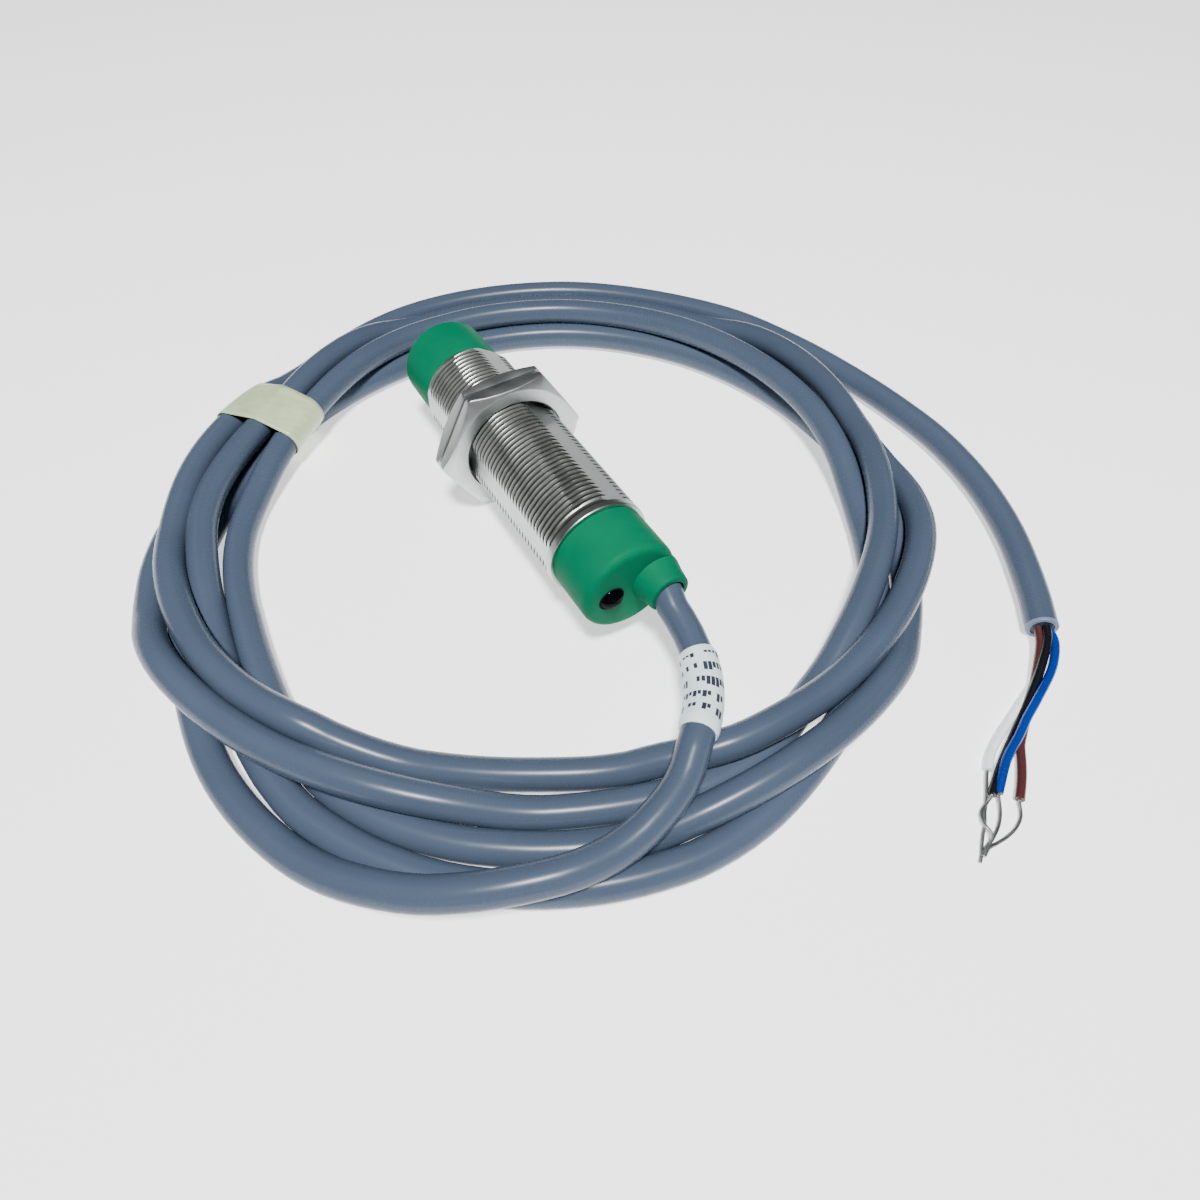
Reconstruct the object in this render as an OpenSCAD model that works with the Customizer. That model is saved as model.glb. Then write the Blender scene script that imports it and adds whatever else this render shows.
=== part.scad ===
// Cylindrical M18 inductive proximity sensor with two lock nuts and a moulded-in cable.
// The origin is the centre of the sensing face; +Y leaves the face, +Z is up.
// The sensor lies on the flats of its nuts, with its cable coiled round it on the same surface.

/* [Barrel] */
// Outer diameter of the barrel and its thread
barrel_d = 18; // [14:0.5:22]
// Length of the metal barrel
barrel_l = 47.6; // [40:0.5:70]
// Wall of the barrel under the thread
barrel_wall = 1.5; // [1.2:0.1:2]
// Depth of each of the three flats below the thread's crest
flat_depth = 0.8; // [0.4:0.1:1]
// Turn of the first flat from +X towards +Z
flat_turn = 56; // [0:1:119]
// Length of the plain ring behind the thread
end_ring_l = 1.2; // [0.6:0.2:3]
// Pitch of the thread
pitch = 1; // [0.75:0.25:1.5]

/* [Sensing cap] */
// Diameter of the sensing cap
front_cap_d = 16.5; // [13:0.5:17.4]
// Length of the sensing cap in front of the barrel
front_cap_l = 10.5; // [8:0.5:18]
// Thickness of the sensing face
face_wall = 0.9; // [0.6:0.1:1.5]
// Length that each cap reaches into the barrel
spigot_l = 6.5; // [5:0.5:9]
// Height of the ferrite pot core
ferrite_l = 4.5; // [3:0.5:6]

/* [Nuts] */
// Width across flats of a lock nut
nut_af = 24; // [22:0.5:30]
// Thickness of a lock nut
nut_t = 2.45; // [2:0.05:5]
// Thickness of a keyed washer
washer_t = 0.25; // [0.2:0.05:1]
// Outer diameter of a keyed washer
washer_d = 22; // [20.6:0.2:23]
// Distance from the sensing face to the front nut
nut_place = 24.4; // [23:0.2:30]

/* [Rear cap] */
// Diameter of the rear cap
rear_cap_d = 16.8; // [14:0.2:17.4]
// Length of the rear cap behind the barrel
rear_cap_l = 9.7; // [8:0.2:14]
// Length of the cable boss behind the rear cap
boss_l = 4; // [3:0.5:8]
// Outer diameter of the cable boss at its root
boss_d = 8.4; // [7:0.2:9]
// Distance of the cable boss from the axis
boss_x = 4.4; // [4:0.1:4.6]
// Diameter of the indicator lens
lens_d = 4.1; // [3:0.1:4.5]
// Distance of the indicator lens from the axis
lens_x = 3.7; // [3.4:0.1:4]

/* [Electronics] */
// Width of the circuit board
board_w = 12.4; // [10:0.2:12.8]
// Length of the circuit board
board_l = 43; // [36:0.5:44]
// Thickness of the circuit board
board_t = 1; // [0.8:0.2:1.6]

/* [Cable] */
// Diameter of the cable's jacket
cable_d = 5; // [4:0.1:5]
// Diameter of one insulated core
core_d = 1.4; // [1.1:0.1:1.5]
// Diameter of one stripped conductor
conductor_d = 0.5; // [0.4:0.05:0.6]
// Mean diameter of the coil of cable
coil_d = 121.5; // [118:0.5:130]
// Width of the coil's bundle of turns
bundle_w = 27; // [24:1:32]
// Height of the coil's bundle of turns
bundle_h = 10; // [8:1:14]

/* [Hidden] */
$fn = 72;
eps = 0.01;
glue_gap = 0.05;      // between pieces that are glued or potted together
slide_gap = 0.08;     // radial clearance of the nuts on the thread
face_gap = 0.03;      // between a nut and its washer
bond_gap = 0.1;       // between a cable or a core and what surrounds it

barrel_r = barrel_d / 2;
bore_r = barrel_r - barrel_wall;
flat_r = barrel_r - flat_depth;
barrel_end = front_cap_l + barrel_l;
groove_l = 0.4 * pitch;
thread_end = barrel_end - end_ring_l - groove_l;
thread_chamfer = 0.6 * pitch;

cap_wall = 0.45;
cap_bore_r = min(bore_r - glue_gap, front_cap_d / 2) - cap_wall;
ferrite_r = cap_bore_r - glue_gap;
ferrite_wall = 1.3;
post_r = 2.6;
ferrite_place = face_wall + glue_gap;
bobbin_gap = 0.1;
bobbin_l = ferrite_l - ferrite_wall - bobbin_gap;
bobbin_place = ferrite_place + glue_gap;
bobbin_r = ferrite_r - ferrite_wall - bobbin_gap;
flange_t = 0.4;
holder_place = ferrite_place + ferrite_l + glue_gap;
holder_l = 2;
board_place = holder_place + 0.6;
board_end = board_place + board_l;
pin_r = 0.3;
pin_x = (post_r + bobbin_r) / 2;
pin_z = board_t / 2 + pin_r + glue_gap;
potting_place = holder_place + holder_l + glue_gap;
potting_end = front_cap_l + spigot_l;

nut_r = nut_af / sqrt(3);
rest_z = -nut_af / 2;
nut_bore_r = barrel_r + slide_gap;
washer_place = nut_place + nut_t + face_gap;
rear_washer_place = washer_place + washer_t + face_gap;
rear_nut_place = rear_washer_place + washer_t + face_gap;
key_half_angle = 14;
key_gap = 0.15;

rear_cap_r = rear_cap_d / 2;
rear_cap_end = barrel_end + rear_cap_l;
rear_wall = 2;
rear_bore_r = bore_r - 1.45;
rear_spigot_place = barrel_end - spigot_l;
rear_edge_r = 1.4;
boss_end = rear_cap_end + boss_l;
boss_tip_r = boss_d / 2 - 0.45;
boss_lip = 0.8;
seal_wall = 0.45;
seal_r = cable_d / 2 + bond_gap + seal_wall;
seal_l = 4.6;
sleeve_r = seal_r + 0.4;
sleeve_place = rear_cap_end - 4.6;
clamp_l = 1.8;
clamp_place = sleeve_place - clamp_l - glue_gap;
cable_start = clamp_place - 1;
lens_r = lens_d / 2;
lens_dome = 1.3;
o_ring_d = 0.8;
o_ring_place = rear_spigot_place + 2.6;
led_r = 1;
led_l = 2;
guide_r = 1.2;
guide_place = board_end + led_l + 2 * glue_gap;
guide_l = rear_cap_end - rear_wall - guide_place - glue_gap;

coil_x = 1;
coil_y = -41.5;
tape_angle = 118;
tape_sweep = 8;
tape_t = 0.3;
label_t = 0.35;

lead_points = [
    [4.4, -cable_start, 0], [4.4, -66, 0], [4.4, -72, 0], [4.8, -75.5, -0.3],
    [4.6, -79, -1], [3.8, -82.5, -1.8], [2.4, -86, -2.6], [0.4, -89, -3.4],
    [-2.6, -92.2, -4], [-6, -95, -4.4], [-10, -98, -4.6],
];
label_points = [
    [4.2, -81, -1.4], [3.8, -82.5, -1.8], [2.4, -86, -2.6], [0.4, -89, -3.4], [-2.6, -92.2, -4],
];
tail_points = [
    [69, -16, -9.5], [72.5, -28, -9.5], [75, -41, -9.5], [76.8, -51, -9.5], [76.5, -62, -9.5],
    [74.2, -74.5, -9.5], [69.5, -86, -9.5], [63.2, -95.6, -9.5], [56.8, -103.5, -9.5],
];
core_points = [
    ["brown", [56, -103.1, -9.2], [54.6, -105, -9.6], [48.7, -109.4, -10.5], [40.1, -114.7, -11.1],
        [38.4, -115.8, -11.2], [36.2, -117.9, -11.2], [34, -119.8, -11.2], [31.4, -121.7, -11.2]],
    ["blue", [57.4, -104.2, -9.6], [56.6, -106, -9.4], [52.6, -109.2, -9.5], [45.2, -112.2, -9.5],
        [41.9, -113.4, -9.8], [38.6, -114.8, -10], [34.2, -116.5, -10.4], [29.5, -119.4, -11.1]],
    ["black", [56.7, -103.8, -8.5], [55.4, -105.4, -8.8], [50.8, -108.4, -9.6], [45, -111.4, -10.6],
        [38.8, -114.2, -11], [33.8, -116.4, -11.2], [28.6, -119.1, -11.2]],
    ["white", [56.7, -103.7, -10.5], [54.6, -106.4, -10.9], [50, -109, -11.2], [44, -111, -11.2],
        [38, -112.8, -11.2], [34.6, -114, -11.2], [32.8, -114.9, -11.2], [31.1, -116.1, -11.2]],
];
strand_points = [
    ["brown", [31.3, -121.8, -11.4], [29.9, -123.4, -11.6], [28.2, -124.2, -11.7], [26, -124.5, -11.7],
        [23.8, -124.4, -11.6], [22.2, -124.3, -11.4], [20.9, -124.8, -11.4]],
    ["blue", [29.4, -119.6, -11.3], [28.1, -121.2, -11.5], [26.5, -122.5, -11.6], [24.3, -123.5, -11.6],
        [22.3, -124, -11.5], [20.8, -124.5, -11.6]],
    ["black", [28.4, -119.2, -11.3], [27.4, -119.5, -11.5], [25.3, -120.2, -11.6], [24.3, -121.7, -11.2],
        [24.1, -123, -11.2], [23.2, -123.8, -11.4], [21.2, -124.4, -11.6]],
    ["white", [30.9, -116.2, -11.4], [29.3, -117.6, -11.5], [27.5, -119.2, -11.6], [26.1, -120.3, -11.7],
        [24.6, -121.6, -11.7], [22.7, -122.9, -11.7], [21, -124.3, -11.7], [19.9, -125.1, -11.7]],
];

// ---- shared shapes ----

// Turns a child so that its +Z runs from the sensing face towards the cable, and moves it s behind the face.
module behind_face(s) {
    translate([0, -s, 0]) rotate([90, 0, 0]) children();
}

// A round solid behind the face, from s over a length, with an optional bore.
module turned(s, l, r, bore = 0) {
    behind_face(s) difference() {
        cylinder(h = l, r = r);
        if (bore > 0) translate([0, 0, -1]) cylinder(h = l + 2, r = bore);
    }
}

// A box on the circuit board: its middle across, its start behind the face, and its size.
module on_board(x, s, w, l, h) {
    translate([x - w / 2, -s - l, board_t / 2 + glue_gap]) cube([w, l, h]);
}

// A tube swept along points, with flat ends.
module tube(points, r, sides) {
    n = len(points);
    function direction(i) =
        let (d = points[min(i + 1, n - 1)] - points[max(i - 1, 0)]) d / norm(d);
    function ring(i) =
        let (t = direction(i), u = cross(t, [0, 0, 1]), a = u / norm(u), b = cross(a, t))
        [for (k = [0 : sides - 1]) let (w = 360 * k / sides) points[i] + r * (cos(w) * a + sin(w) * b)];
    rings = [for (i = [0 : n - 1]) each ring(i)];
    walls = [for (i = [0 : n - 2], k = [0 : sides - 1]) let (m = (k + 1) % sides)
        [i * sides + k, i * sides + m, (i + 1) * sides + m, (i + 1) * sides + k]];
    first = [for (k = [sides - 1 : -1 : 0]) k];
    last = [for (k = [0 : sides - 1]) (n - 1) * sides + k];
    polyhedron(points = rings, faces = concat([first], walls, [last]), convexity = 4);
}

// The points of one row of a list whose rows start with a name.
function row_points(rows, name) =
    [for (row = rows) if (row[0] == name) each [for (i = [1 : len(row) - 1]) row[i]]];

// ---- sensing end ----

module front_cap() {
    edge = 0.4;
    color([0, 0.57, 0.42]) behind_face(0) rotate_extrude() polygon([
        [0, 0], [front_cap_d / 2 - edge, 0], [front_cap_d / 2, edge], [front_cap_d / 2, front_cap_l],
        [bore_r - glue_gap, front_cap_l], [bore_r - glue_gap, front_cap_l + spigot_l],
        [cap_bore_r, front_cap_l + spigot_l], [cap_bore_r, face_wall], [0, face_wall],
    ]);
}

module ferrite_core() {
    color([0.2, 0.2, 0.21]) difference() {
        behind_face(ferrite_place) rotate_extrude() polygon([
            [1, 0], [post_r, 0], [post_r, ferrite_l - ferrite_wall],
            [ferrite_r - ferrite_wall, ferrite_l - ferrite_wall], [ferrite_r - ferrite_wall, 0],
            [ferrite_r, 0], [ferrite_r, ferrite_l], [1, ferrite_l],
        ]);
        pin_holes(ferrite_place, ferrite_l + 1);
    }
}

// Clearance holes for the two coil terminals.
module pin_holes(s, l) {
    for (side = [-1, 1])
        translate([side * pin_x, 0, pin_z]) behind_face(s) cylinder(h = l, r = pin_r + bond_gap, $fn = 24);
}

module coil_bobbin() {
    tube_r = post_r + bobbin_gap;
    color([0.85, 0.82, 0.7]) difference() {
        behind_face(bobbin_place) rotate_extrude() polygon([
            [tube_r, 0], [bobbin_r, 0], [bobbin_r, flange_t], [tube_r + flange_t, flange_t],
            [tube_r + flange_t, bobbin_l - flange_t], [bobbin_r, bobbin_l - flange_t],
            [bobbin_r, bobbin_l], [tube_r, bobbin_l],
        ]);
        pin_holes(bobbin_place + bobbin_l - flange_t - 0.5, flange_t + 1);
    }
}

module coil_winding() {
    inner_r = post_r + bobbin_gap + flange_t + glue_gap;
    color([0.72, 0.4, 0.18])
        turned(bobbin_place + flange_t + glue_gap, bobbin_l - 2 * flange_t - 2 * glue_gap,
            bobbin_r - 0.3, inner_r);
}

module core_holder() {
    color([0.12, 0.12, 0.13]) difference() {
        turned(holder_place, holder_l, ferrite_r, 1.5);
        board_room();
        pin_holes(holder_place - 1, holder_l + 2);
    }
}

// The space of the circuit board, with clearance all round.
module board_room() {
    w = board_w + 2 * glue_gap;
    t = board_t + 2 * glue_gap;
    translate([-w / 2, -board_end - 1, -t / 2]) cube([w, board_l + 1 + glue_gap, t]);
}

module terminal_pins() {
    start = bobbin_place + bobbin_l - flange_t;
    color([0.8, 0.78, 0.72]) for (side = [-1, 1])
        translate([side * pin_x, 0, pin_z]) behind_face(start)
            cylinder(h = board_place + 3 - start, r = pin_r, $fn = 24);
}

module potting_resin() {
    color([0.55, 0.5, 0.32]) difference() {
        turned(potting_place, potting_end - potting_place, cap_bore_r - glue_gap);
        board_room();
        pin_holes(potting_place - 1, board_place + 3 - potting_place + 2);
    }
}

// ---- electronics ----

module circuit_board() {
    notch_r = 0.8;
    color([0.05, 0.33, 0.2]) difference() {
        translate([-board_w / 2, -board_end, -board_t / 2]) cube([board_w, board_l, board_t]);
        for (side = [-1, 1]) translate([side * board_w / 2, -board_end + 6, -1])
            cylinder(h = board_t + 2, r = notch_r, $fn = 32);
    }
}

module controller_chip() {
    lead_w = 0.4;
    color([0.1, 0.1, 0.1]) union() {
        on_board(0, board_place + 15, 4, 5, 1.6);
        for (side = [-1, 1], i = [0 : 3])
            on_board(side * 2.5, board_place + 15.4 + 1.25 * i, 1.2, lead_w, 0.3);
    }
}

module output_transistor() {
    color([0.13, 0.13, 0.13]) union() {
        on_board(-1.5, board_place + 26, 4.4, 2.5, 1.5);
        for (i = [-1 : 1]) on_board(-1.5 + 1.5 * i, board_place + 28.4, 0.5, 1, 0.35);
    }
}

module protection_diode() {
    diode_r = 0.8;
    color([0.55, 0.2, 0.12]) translate([-4.2, -board_place - 32, board_t / 2 + glue_gap + diode_r])
        rotate([0, 90, 0]) cylinder(h = 3.4, r = diode_r, $fn = 36);
}

module capacitors() {
    color([0.72, 0.6, 0.4]) {
        on_board(board_w / 2 - 1.6, board_place + 12, 2, 3.2, 1.2);
        on_board(1.6 - board_w / 2, board_place + 12, 1.6, 3, 1.2);
        on_board(board_w / 2 - 2.1, board_place + 25, 2.5, 3.4, 1.8);
    }
}

module resistors() {
    color([0.16, 0.16, 0.18]) for (i = [0 : 4])
        on_board(-3.6 + 1.9 * i, board_place + 22.6, 0.9, 1.7, 0.5);
}

module status_led() {
    color([0.95, 0.75, 0.2]) translate([-lens_x, 0, 0]) turned(board_end + glue_gap, led_l, led_r);
}

module light_guide() {
    color([0.92, 0.94, 0.95]) translate([-lens_x, 0, 0]) turned(guide_place, guide_l, guide_r);
}

// The lens is a dome over the end of the light guide.
module indicator_lens() {
    dome_r = (lens_r * lens_r + lens_dome * lens_dome) / (2 * lens_dome);
    color([0.05, 0.04, 0.07]) translate([-lens_x, 0, 0]) behind_face(rear_cap_end - rear_wall)
        intersection() {
            cylinder(h = rear_wall + lens_dome, r = lens_r - glue_gap);
            translate([0, 0, rear_wall + lens_dome - dome_r]) sphere(r = dome_r);
        }
}

// The four cores of the cable inside the housing, from their pads to the end of the jacket.
module inner_wires() {
    wire_r = core_d / 2 - bond_gap;
    wire_z = board_t / 2 + wire_r + glue_gap;
    spread = 0.95;
    for (i = [0 : 3]) {
        pad_x = [-0.4, 1.4, 3.2, 5][i];
        end_x = boss_x + spread * [-1, 0, 0, 1][i];
        end_z = spread * [0, 1, -1, 0][i];
        color([[0.4, 0.22, 0.12], [0.08, 0.2, 0.55], [0.08, 0.08, 0.08], [0.9, 0.9, 0.88]][i])
            tube([
                [pad_x, -board_end + 3, wire_z], [pad_x, -board_end - 0.5, wire_z],
                [end_x, -cable_start + 1.6, end_z], [end_x, -cable_start + glue_gap, end_z],
            ], wire_r, 8);
    }
}

// ---- barrel and nuts ----

module barrel() {
    color([0.6, 0.62, 0.62]) difference() {
        behind_face(front_cap_l) rotate_extrude() polygon([
            [bore_r, 0], [barrel_r - thread_chamfer, 0], [barrel_r, thread_chamfer],
            [barrel_r, barrel_l], [bore_r, barrel_l],
        ]);
        behind_face(thread_end) difference() {
            cylinder(h = groove_l, r = barrel_r + 1);
            translate([0, 0, -1]) cylinder(h = groove_l + 2, r = flat_r - 0.15);
        }
        for (i = [0 : 2]) behind_face(front_cap_l - 1) rotate([0, 0, flat_turn + 120 * i])
            translate([flat_r, -barrel_r, 0]) cube([barrel_r, barrel_d, thread_end - front_cap_l + 1.2]);
    }
}

// A hexagonal lock nut with its chamfered face outwards; its other face meets the washer.
module lock_nut(s, chamfer_at) {
    face_r = nut_af / 2 - 0.4;
    cut = (nut_r - face_r) * tan(30);
    color([0.66, 0.68, 0.68]) behind_face(s) difference() {
        cylinder(h = nut_t, r = nut_r, $fn = 6);
        translate([0, 0, chamfer_at * nut_t]) mirror([0, 0, chamfer_at]) translate([0, 0, -eps])
            rotate_extrude() polygon([
                [face_r - eps / tan(30), 0], [nut_r + 2, 0], [nut_r + 2, cut + 2 * tan(30)],
            ]);
        translate([0, 0, -1]) cylinder(h = nut_t + 2, r = nut_bore_r);
    }
}

module front_nut() {
    lock_nut(nut_place, 0);
}

module rear_nut() {
    lock_nut(rear_nut_place, 1);
}

// A thin washer with three keys that ride on the barrel's flats, so that it can slide but not turn.
module keyed_washer(s) {
    key_r = flat_r + key_gap;
    color([0.5, 0.52, 0.52]) behind_face(s) difference() {
        cylinder(h = washer_t, r = washer_d / 2);
        translate([0, 0, -1]) difference() {
            cylinder(h = washer_t + 2, r = nut_bore_r);
            for (i = [0 : 2]) rotate([0, 0, flat_turn + 120 * i])
                translate([key_r, -barrel_r * sin(key_half_angle), 0])
                    cube([barrel_r, barrel_d * sin(key_half_angle), washer_t + 2]);
        }
    }
}

module front_washer() {
    keyed_washer(washer_place);
}

module rear_washer() {
    keyed_washer(rear_washer_place);
}

// ---- cable end ----

module rear_cap() {
    color([0, 0.57, 0.42]) difference() {
        union() {
            behind_face(rear_spigot_place) rotate_extrude() polygon([
                [0, 0], [bore_r - glue_gap, 0], [bore_r - glue_gap, spigot_l], [0, spigot_l],
            ]);
            behind_face(barrel_end) rotate_extrude() union() {
                square([rear_cap_r - rear_edge_r, rear_cap_l]);
                square([rear_cap_r, rear_cap_l - rear_edge_r]);
                translate([rear_cap_r - rear_edge_r, rear_cap_l - rear_edge_r]) circle(r = rear_edge_r, $fn = 32);
            }
            translate([boss_x, 0, 0]) behind_face(rear_cap_end - 2) cylinder(h = 2, r = boss_tip_r + 0.2);
            translate([boss_x, 0, 0]) behind_face(rear_cap_end - eps) rotate_extrude() polygon([
                [0, 0], [boss_d / 2, 0], [boss_tip_r, boss_l - 0.5], [boss_tip_r - 0.5, boss_l], [0, boss_l],
            ]);
        }
        difference() {
            behind_face(rear_spigot_place - 1)
                cylinder(h = rear_cap_end - rear_wall - rear_spigot_place + 1, r = rear_bore_r);
            translate([boss_x, 0, 0]) intersection() {
                turned(sleeve_place, rear_cap_end - sleeve_place, sleeve_r);
                translate([-boss_x, 0, 0]) turned(sleeve_place, rear_cap_end - sleeve_place, rear_bore_r + 1);
            }
        }
        behind_face(o_ring_place) difference() {
            cylinder(h = o_ring_d + 0.2, r = bore_r + 1);
            translate([0, 0, -1]) cylinder(h = 3, r = bore_r - o_ring_d);
        }
        translate([boss_x, 0, 0]) {
            behind_face(cable_start - 0.3)
                cylinder(h = boss_end - boss_lip - cable_start + 0.3, r = seal_r + glue_gap);
            behind_face(boss_end - 2) cylinder(h = 3, r = cable_d / 2 + bond_gap);
        }
        translate([-lens_x, 0, 0]) behind_face(rear_cap_end - 3) cylinder(h = 4, r = lens_r);
    }
}

module cap_seal() {
    ring_r = bore_r - o_ring_d / 2;
    color([0.08, 0.08, 0.09]) behind_face(o_ring_place + 0.1 + o_ring_d / 2)
        rotate_extrude() translate([ring_r, 0]) circle(r = o_ring_d / 2 - 0.02, $fn = 24);
}

module cable_clamp() {
    color([0.75, 0.76, 0.74]) translate([boss_x, 0, 0])
        turned(clamp_place, clamp_l, seal_r, cable_d / 2 + 0.02);
}

module cable_seal() {
    color([0.15, 0.15, 0.16]) translate([boss_x, 0, 0])
        turned(boss_end - boss_lip - glue_gap - seal_l, seal_l, seal_r, cable_d / 2 + 0.02);
}

// ---- cable ----

module cable_lead() {
    color([0.38, 0.45, 0.55]) tube(lead_points, cable_d / 2, 12);
}

module cable_coil() {
    edge = 1.5;
    color([0.38, 0.45, 0.55]) translate([coil_x, coil_y, rest_z]) rotate_extrude($fn = 96)
        translate([coil_d / 2 - bundle_w / 2, 0]) polygon([
            [edge, 0], [bundle_w - edge, 0], [bundle_w, edge], [bundle_w, bundle_h / 2],
            [bundle_w - 2 * edge, bundle_h], [2 * edge, bundle_h], [0, bundle_h / 2], [0, edge],
        ]);
}

module cable_tail() {
    color([0.38, 0.45, 0.55]) tube(tail_points, cable_d / 2, 12);
}

module label_sleeve() {
    color([0.9, 0.95, 0.95]) difference() {
        tube(label_points, cable_d / 2 + bond_gap + label_t, 12);
        tube([
            2 * label_points[0] - label_points[1], each label_points,
            2 * label_points[4] - label_points[3],
        ], cable_d / 2 + bond_gap, 12);
    }
}

module tape_band() {
    inner_r = coil_d / 2 - bundle_w / 2 - tape_t;
    gap = glue_gap;
    color([0.83, 0.85, 0.72]) translate([coil_x, coil_y, rest_z]) rotate([0, 0, tape_angle])
        rotate_extrude(angle = tape_sweep, $fn = 96) translate([inner_r, 0]) difference() {
            square([bundle_w + 2 * tape_t, bundle_h + tape_t]);
            translate([tape_t - gap, -1]) square([bundle_w + 2 * gap, bundle_h + 1 + gap]);
        }
}

module core_brown() {
    color([0.4, 0.22, 0.16]) tube(row_points(core_points, "brown"), core_d / 2, 8);
}

module core_blue() {
    color([0.06, 0.2, 0.6]) tube(row_points(core_points, "blue"), core_d / 2, 8);
}

module core_black() {
    color([0.07, 0.08, 0.1]) tube(row_points(core_points, "black"), core_d / 2, 8);
}

module core_white() {
    color([0.93, 0.95, 0.95]) tube(row_points(core_points, "white"), core_d / 2, 8);
}

module conductor_brown() {
    color([0.75, 0.76, 0.74]) tube(row_points(strand_points, "brown"), conductor_d / 2, 8);
}

module conductor_blue() {
    color([0.75, 0.76, 0.74]) tube(row_points(strand_points, "blue"), conductor_d / 2, 8);
}

module conductor_black() {
    color([0.75, 0.76, 0.74]) tube(row_points(strand_points, "black"), conductor_d / 2, 8);
}

module conductor_white() {
    color([0.75, 0.76, 0.74]) tube(row_points(strand_points, "white"), conductor_d / 2, 8);
}

front_cap();
ferrite_core();
coil_bobbin();
coil_winding();
core_holder();
terminal_pins();
potting_resin();
circuit_board();
controller_chip();
output_transistor();
protection_diode();
capacitors();
resistors();
status_led();
light_guide();
indicator_lens();
inner_wires();
barrel();
front_nut();
front_washer();
rear_washer();
rear_nut();
rear_cap();
cap_seal();
cable_clamp();
cable_seal();
cable_lead();
cable_coil();
cable_tail();
label_sleeve();
tape_band();
core_brown();
core_blue();
core_black();
core_white();
conductor_brown();
conductor_blue();
conductor_black();
conductor_white();
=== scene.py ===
"""Looks of a threaded-barrel proximity sensor that lies inside the coil of its own cable.

All lengths are in metres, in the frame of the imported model: the origin is the centre of the sensing
face, +Y leaves the face and +Z is up.
"""
import enum
import logging
import math
from contextlib import contextmanager
from dataclasses import dataclass, field
from typing import Any, Dict, Iterator, List, Optional, Sequence, Tuple, Union

import bmesh
import bpy
import numpy as np
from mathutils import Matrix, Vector


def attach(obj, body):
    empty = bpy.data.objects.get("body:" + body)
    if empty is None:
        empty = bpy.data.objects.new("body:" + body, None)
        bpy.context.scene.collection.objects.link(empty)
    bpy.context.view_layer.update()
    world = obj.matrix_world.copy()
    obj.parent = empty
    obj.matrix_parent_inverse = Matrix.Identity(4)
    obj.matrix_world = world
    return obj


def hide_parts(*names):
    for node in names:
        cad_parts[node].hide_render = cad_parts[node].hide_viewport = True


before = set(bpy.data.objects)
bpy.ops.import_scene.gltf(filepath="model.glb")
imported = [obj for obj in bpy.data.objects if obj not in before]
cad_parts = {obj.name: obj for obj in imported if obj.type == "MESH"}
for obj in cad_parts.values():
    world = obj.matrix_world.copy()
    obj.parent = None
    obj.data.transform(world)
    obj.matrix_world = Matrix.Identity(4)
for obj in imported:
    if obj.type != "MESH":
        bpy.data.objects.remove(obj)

LOG = logging.getLogger("proximity_sensor")
MM = 0.001
TABLE_Z = -12 * MM
DOUBLED = 1e-7
Color = Tuple[float, float, float]
Spot = Tuple[float, float, float]
Ring = List[Tuple[float, float]]
Face = Tuple[int, int, int, int]
Number = Union[int, float]


def srgb(red: Number, green: Number, blue: Number) -> Color:
    """Turns a colour on the 0 to 255 screen scale into linear light.

    Args:
        red: Red channel.
        green: Green channel.
        blue: Blue channel.

    Returns:
        The three linear channels.
    """
    def one(value: float) -> float:
        """Returns one channel in linear light."""
        part = value / 255
        return part / 12.92 if part <= 0.04045 else ((part + 0.055) / 1.055) ** 2.4
    return one(red), one(green), one(blue)


def shade(color: Color, amount: float) -> Color:
    """Makes a colour darker or paler.

    Args:
        color: The colour.
        amount: Below 1 for darker, above 1 for paler.

    Returns:
        The new colour.
    """
    return tuple(min(1.0, channel * amount) for channel in color)


# ---------------------------------------------------------------- node maths

class Sock:
    """An output socket whose Python operators add Math nodes to its tree."""

    def __init__(self, tree: "NodeTree", socket: bpy.types.NodeSocket) -> None:
        """Keeps the socket.

        Args:
            tree: The tree that new nodes go into.
            socket: The output socket.
        """
        self.tree = tree
        self.socket = socket

    def math(self, operation: str, *others: Union["Sock", Number], swap: bool = False) -> "Sock":
        """Adds one Math node on this socket and others.

        Args:
            operation: The Math node's operation.
            others: The further operands.
            swap: True to put this socket second.

        Returns:
            The node's result.
        """
        values = [self, *others]
        if swap:
            values.reverse()
        return self.tree.node("ShaderNodeMath", {"operation": operation}, dict(enumerate(values)))

    def __add__(self, other: Union["Sock", Number]) -> "Sock":
        """Returns this plus other."""
        return self.math("ADD", other)

    __radd__ = __add__

    def __sub__(self, other: Union["Sock", Number]) -> "Sock":
        """Returns this minus other."""
        return self.math("SUBTRACT", other)

    def __rsub__(self, other: Number) -> "Sock":
        """Returns other minus this."""
        return self.math("SUBTRACT", other, swap=True)

    def __mul__(self, other: Union["Sock", Number]) -> "Sock":
        """Returns this times other."""
        return self.math("MULTIPLY", other)

    def __truediv__(self, other: Union["Sock", Number]) -> "Sock":
        """Returns this over other."""
        return self.math("DIVIDE", other)

    def __mod__(self, other: Union["Sock", Number]) -> "Sock":
        """Returns the positive remainder of this over other."""
        return self.math("FLOORED_MODULO", other)

    def above(self, edge: Union["Sock", Number]) -> "Sock":
        """Returns 1 where this is greater than edge, and 0 elsewhere."""
        return self.math("GREATER_THAN", edge)

    def least(self, other: Union["Sock", Number]) -> "Sock":
        """Returns the smaller of this and other."""
        return self.math("MINIMUM", other)

    def most(self, other: Union["Sock", Number]) -> "Sock":
        """Returns the larger of this and other."""
        return self.math("MAXIMUM", other)

    def clamp(self) -> "Sock":
        """Returns this held between 0 and 1."""
        return self.least(1.0).most(0.0)

    def ramp(self, low: float, high: float) -> "Sock":
        """Returns 0 at low, 1 at high, and a straight line between them."""
        return ((self - low) / (high - low)).clamp()


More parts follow.
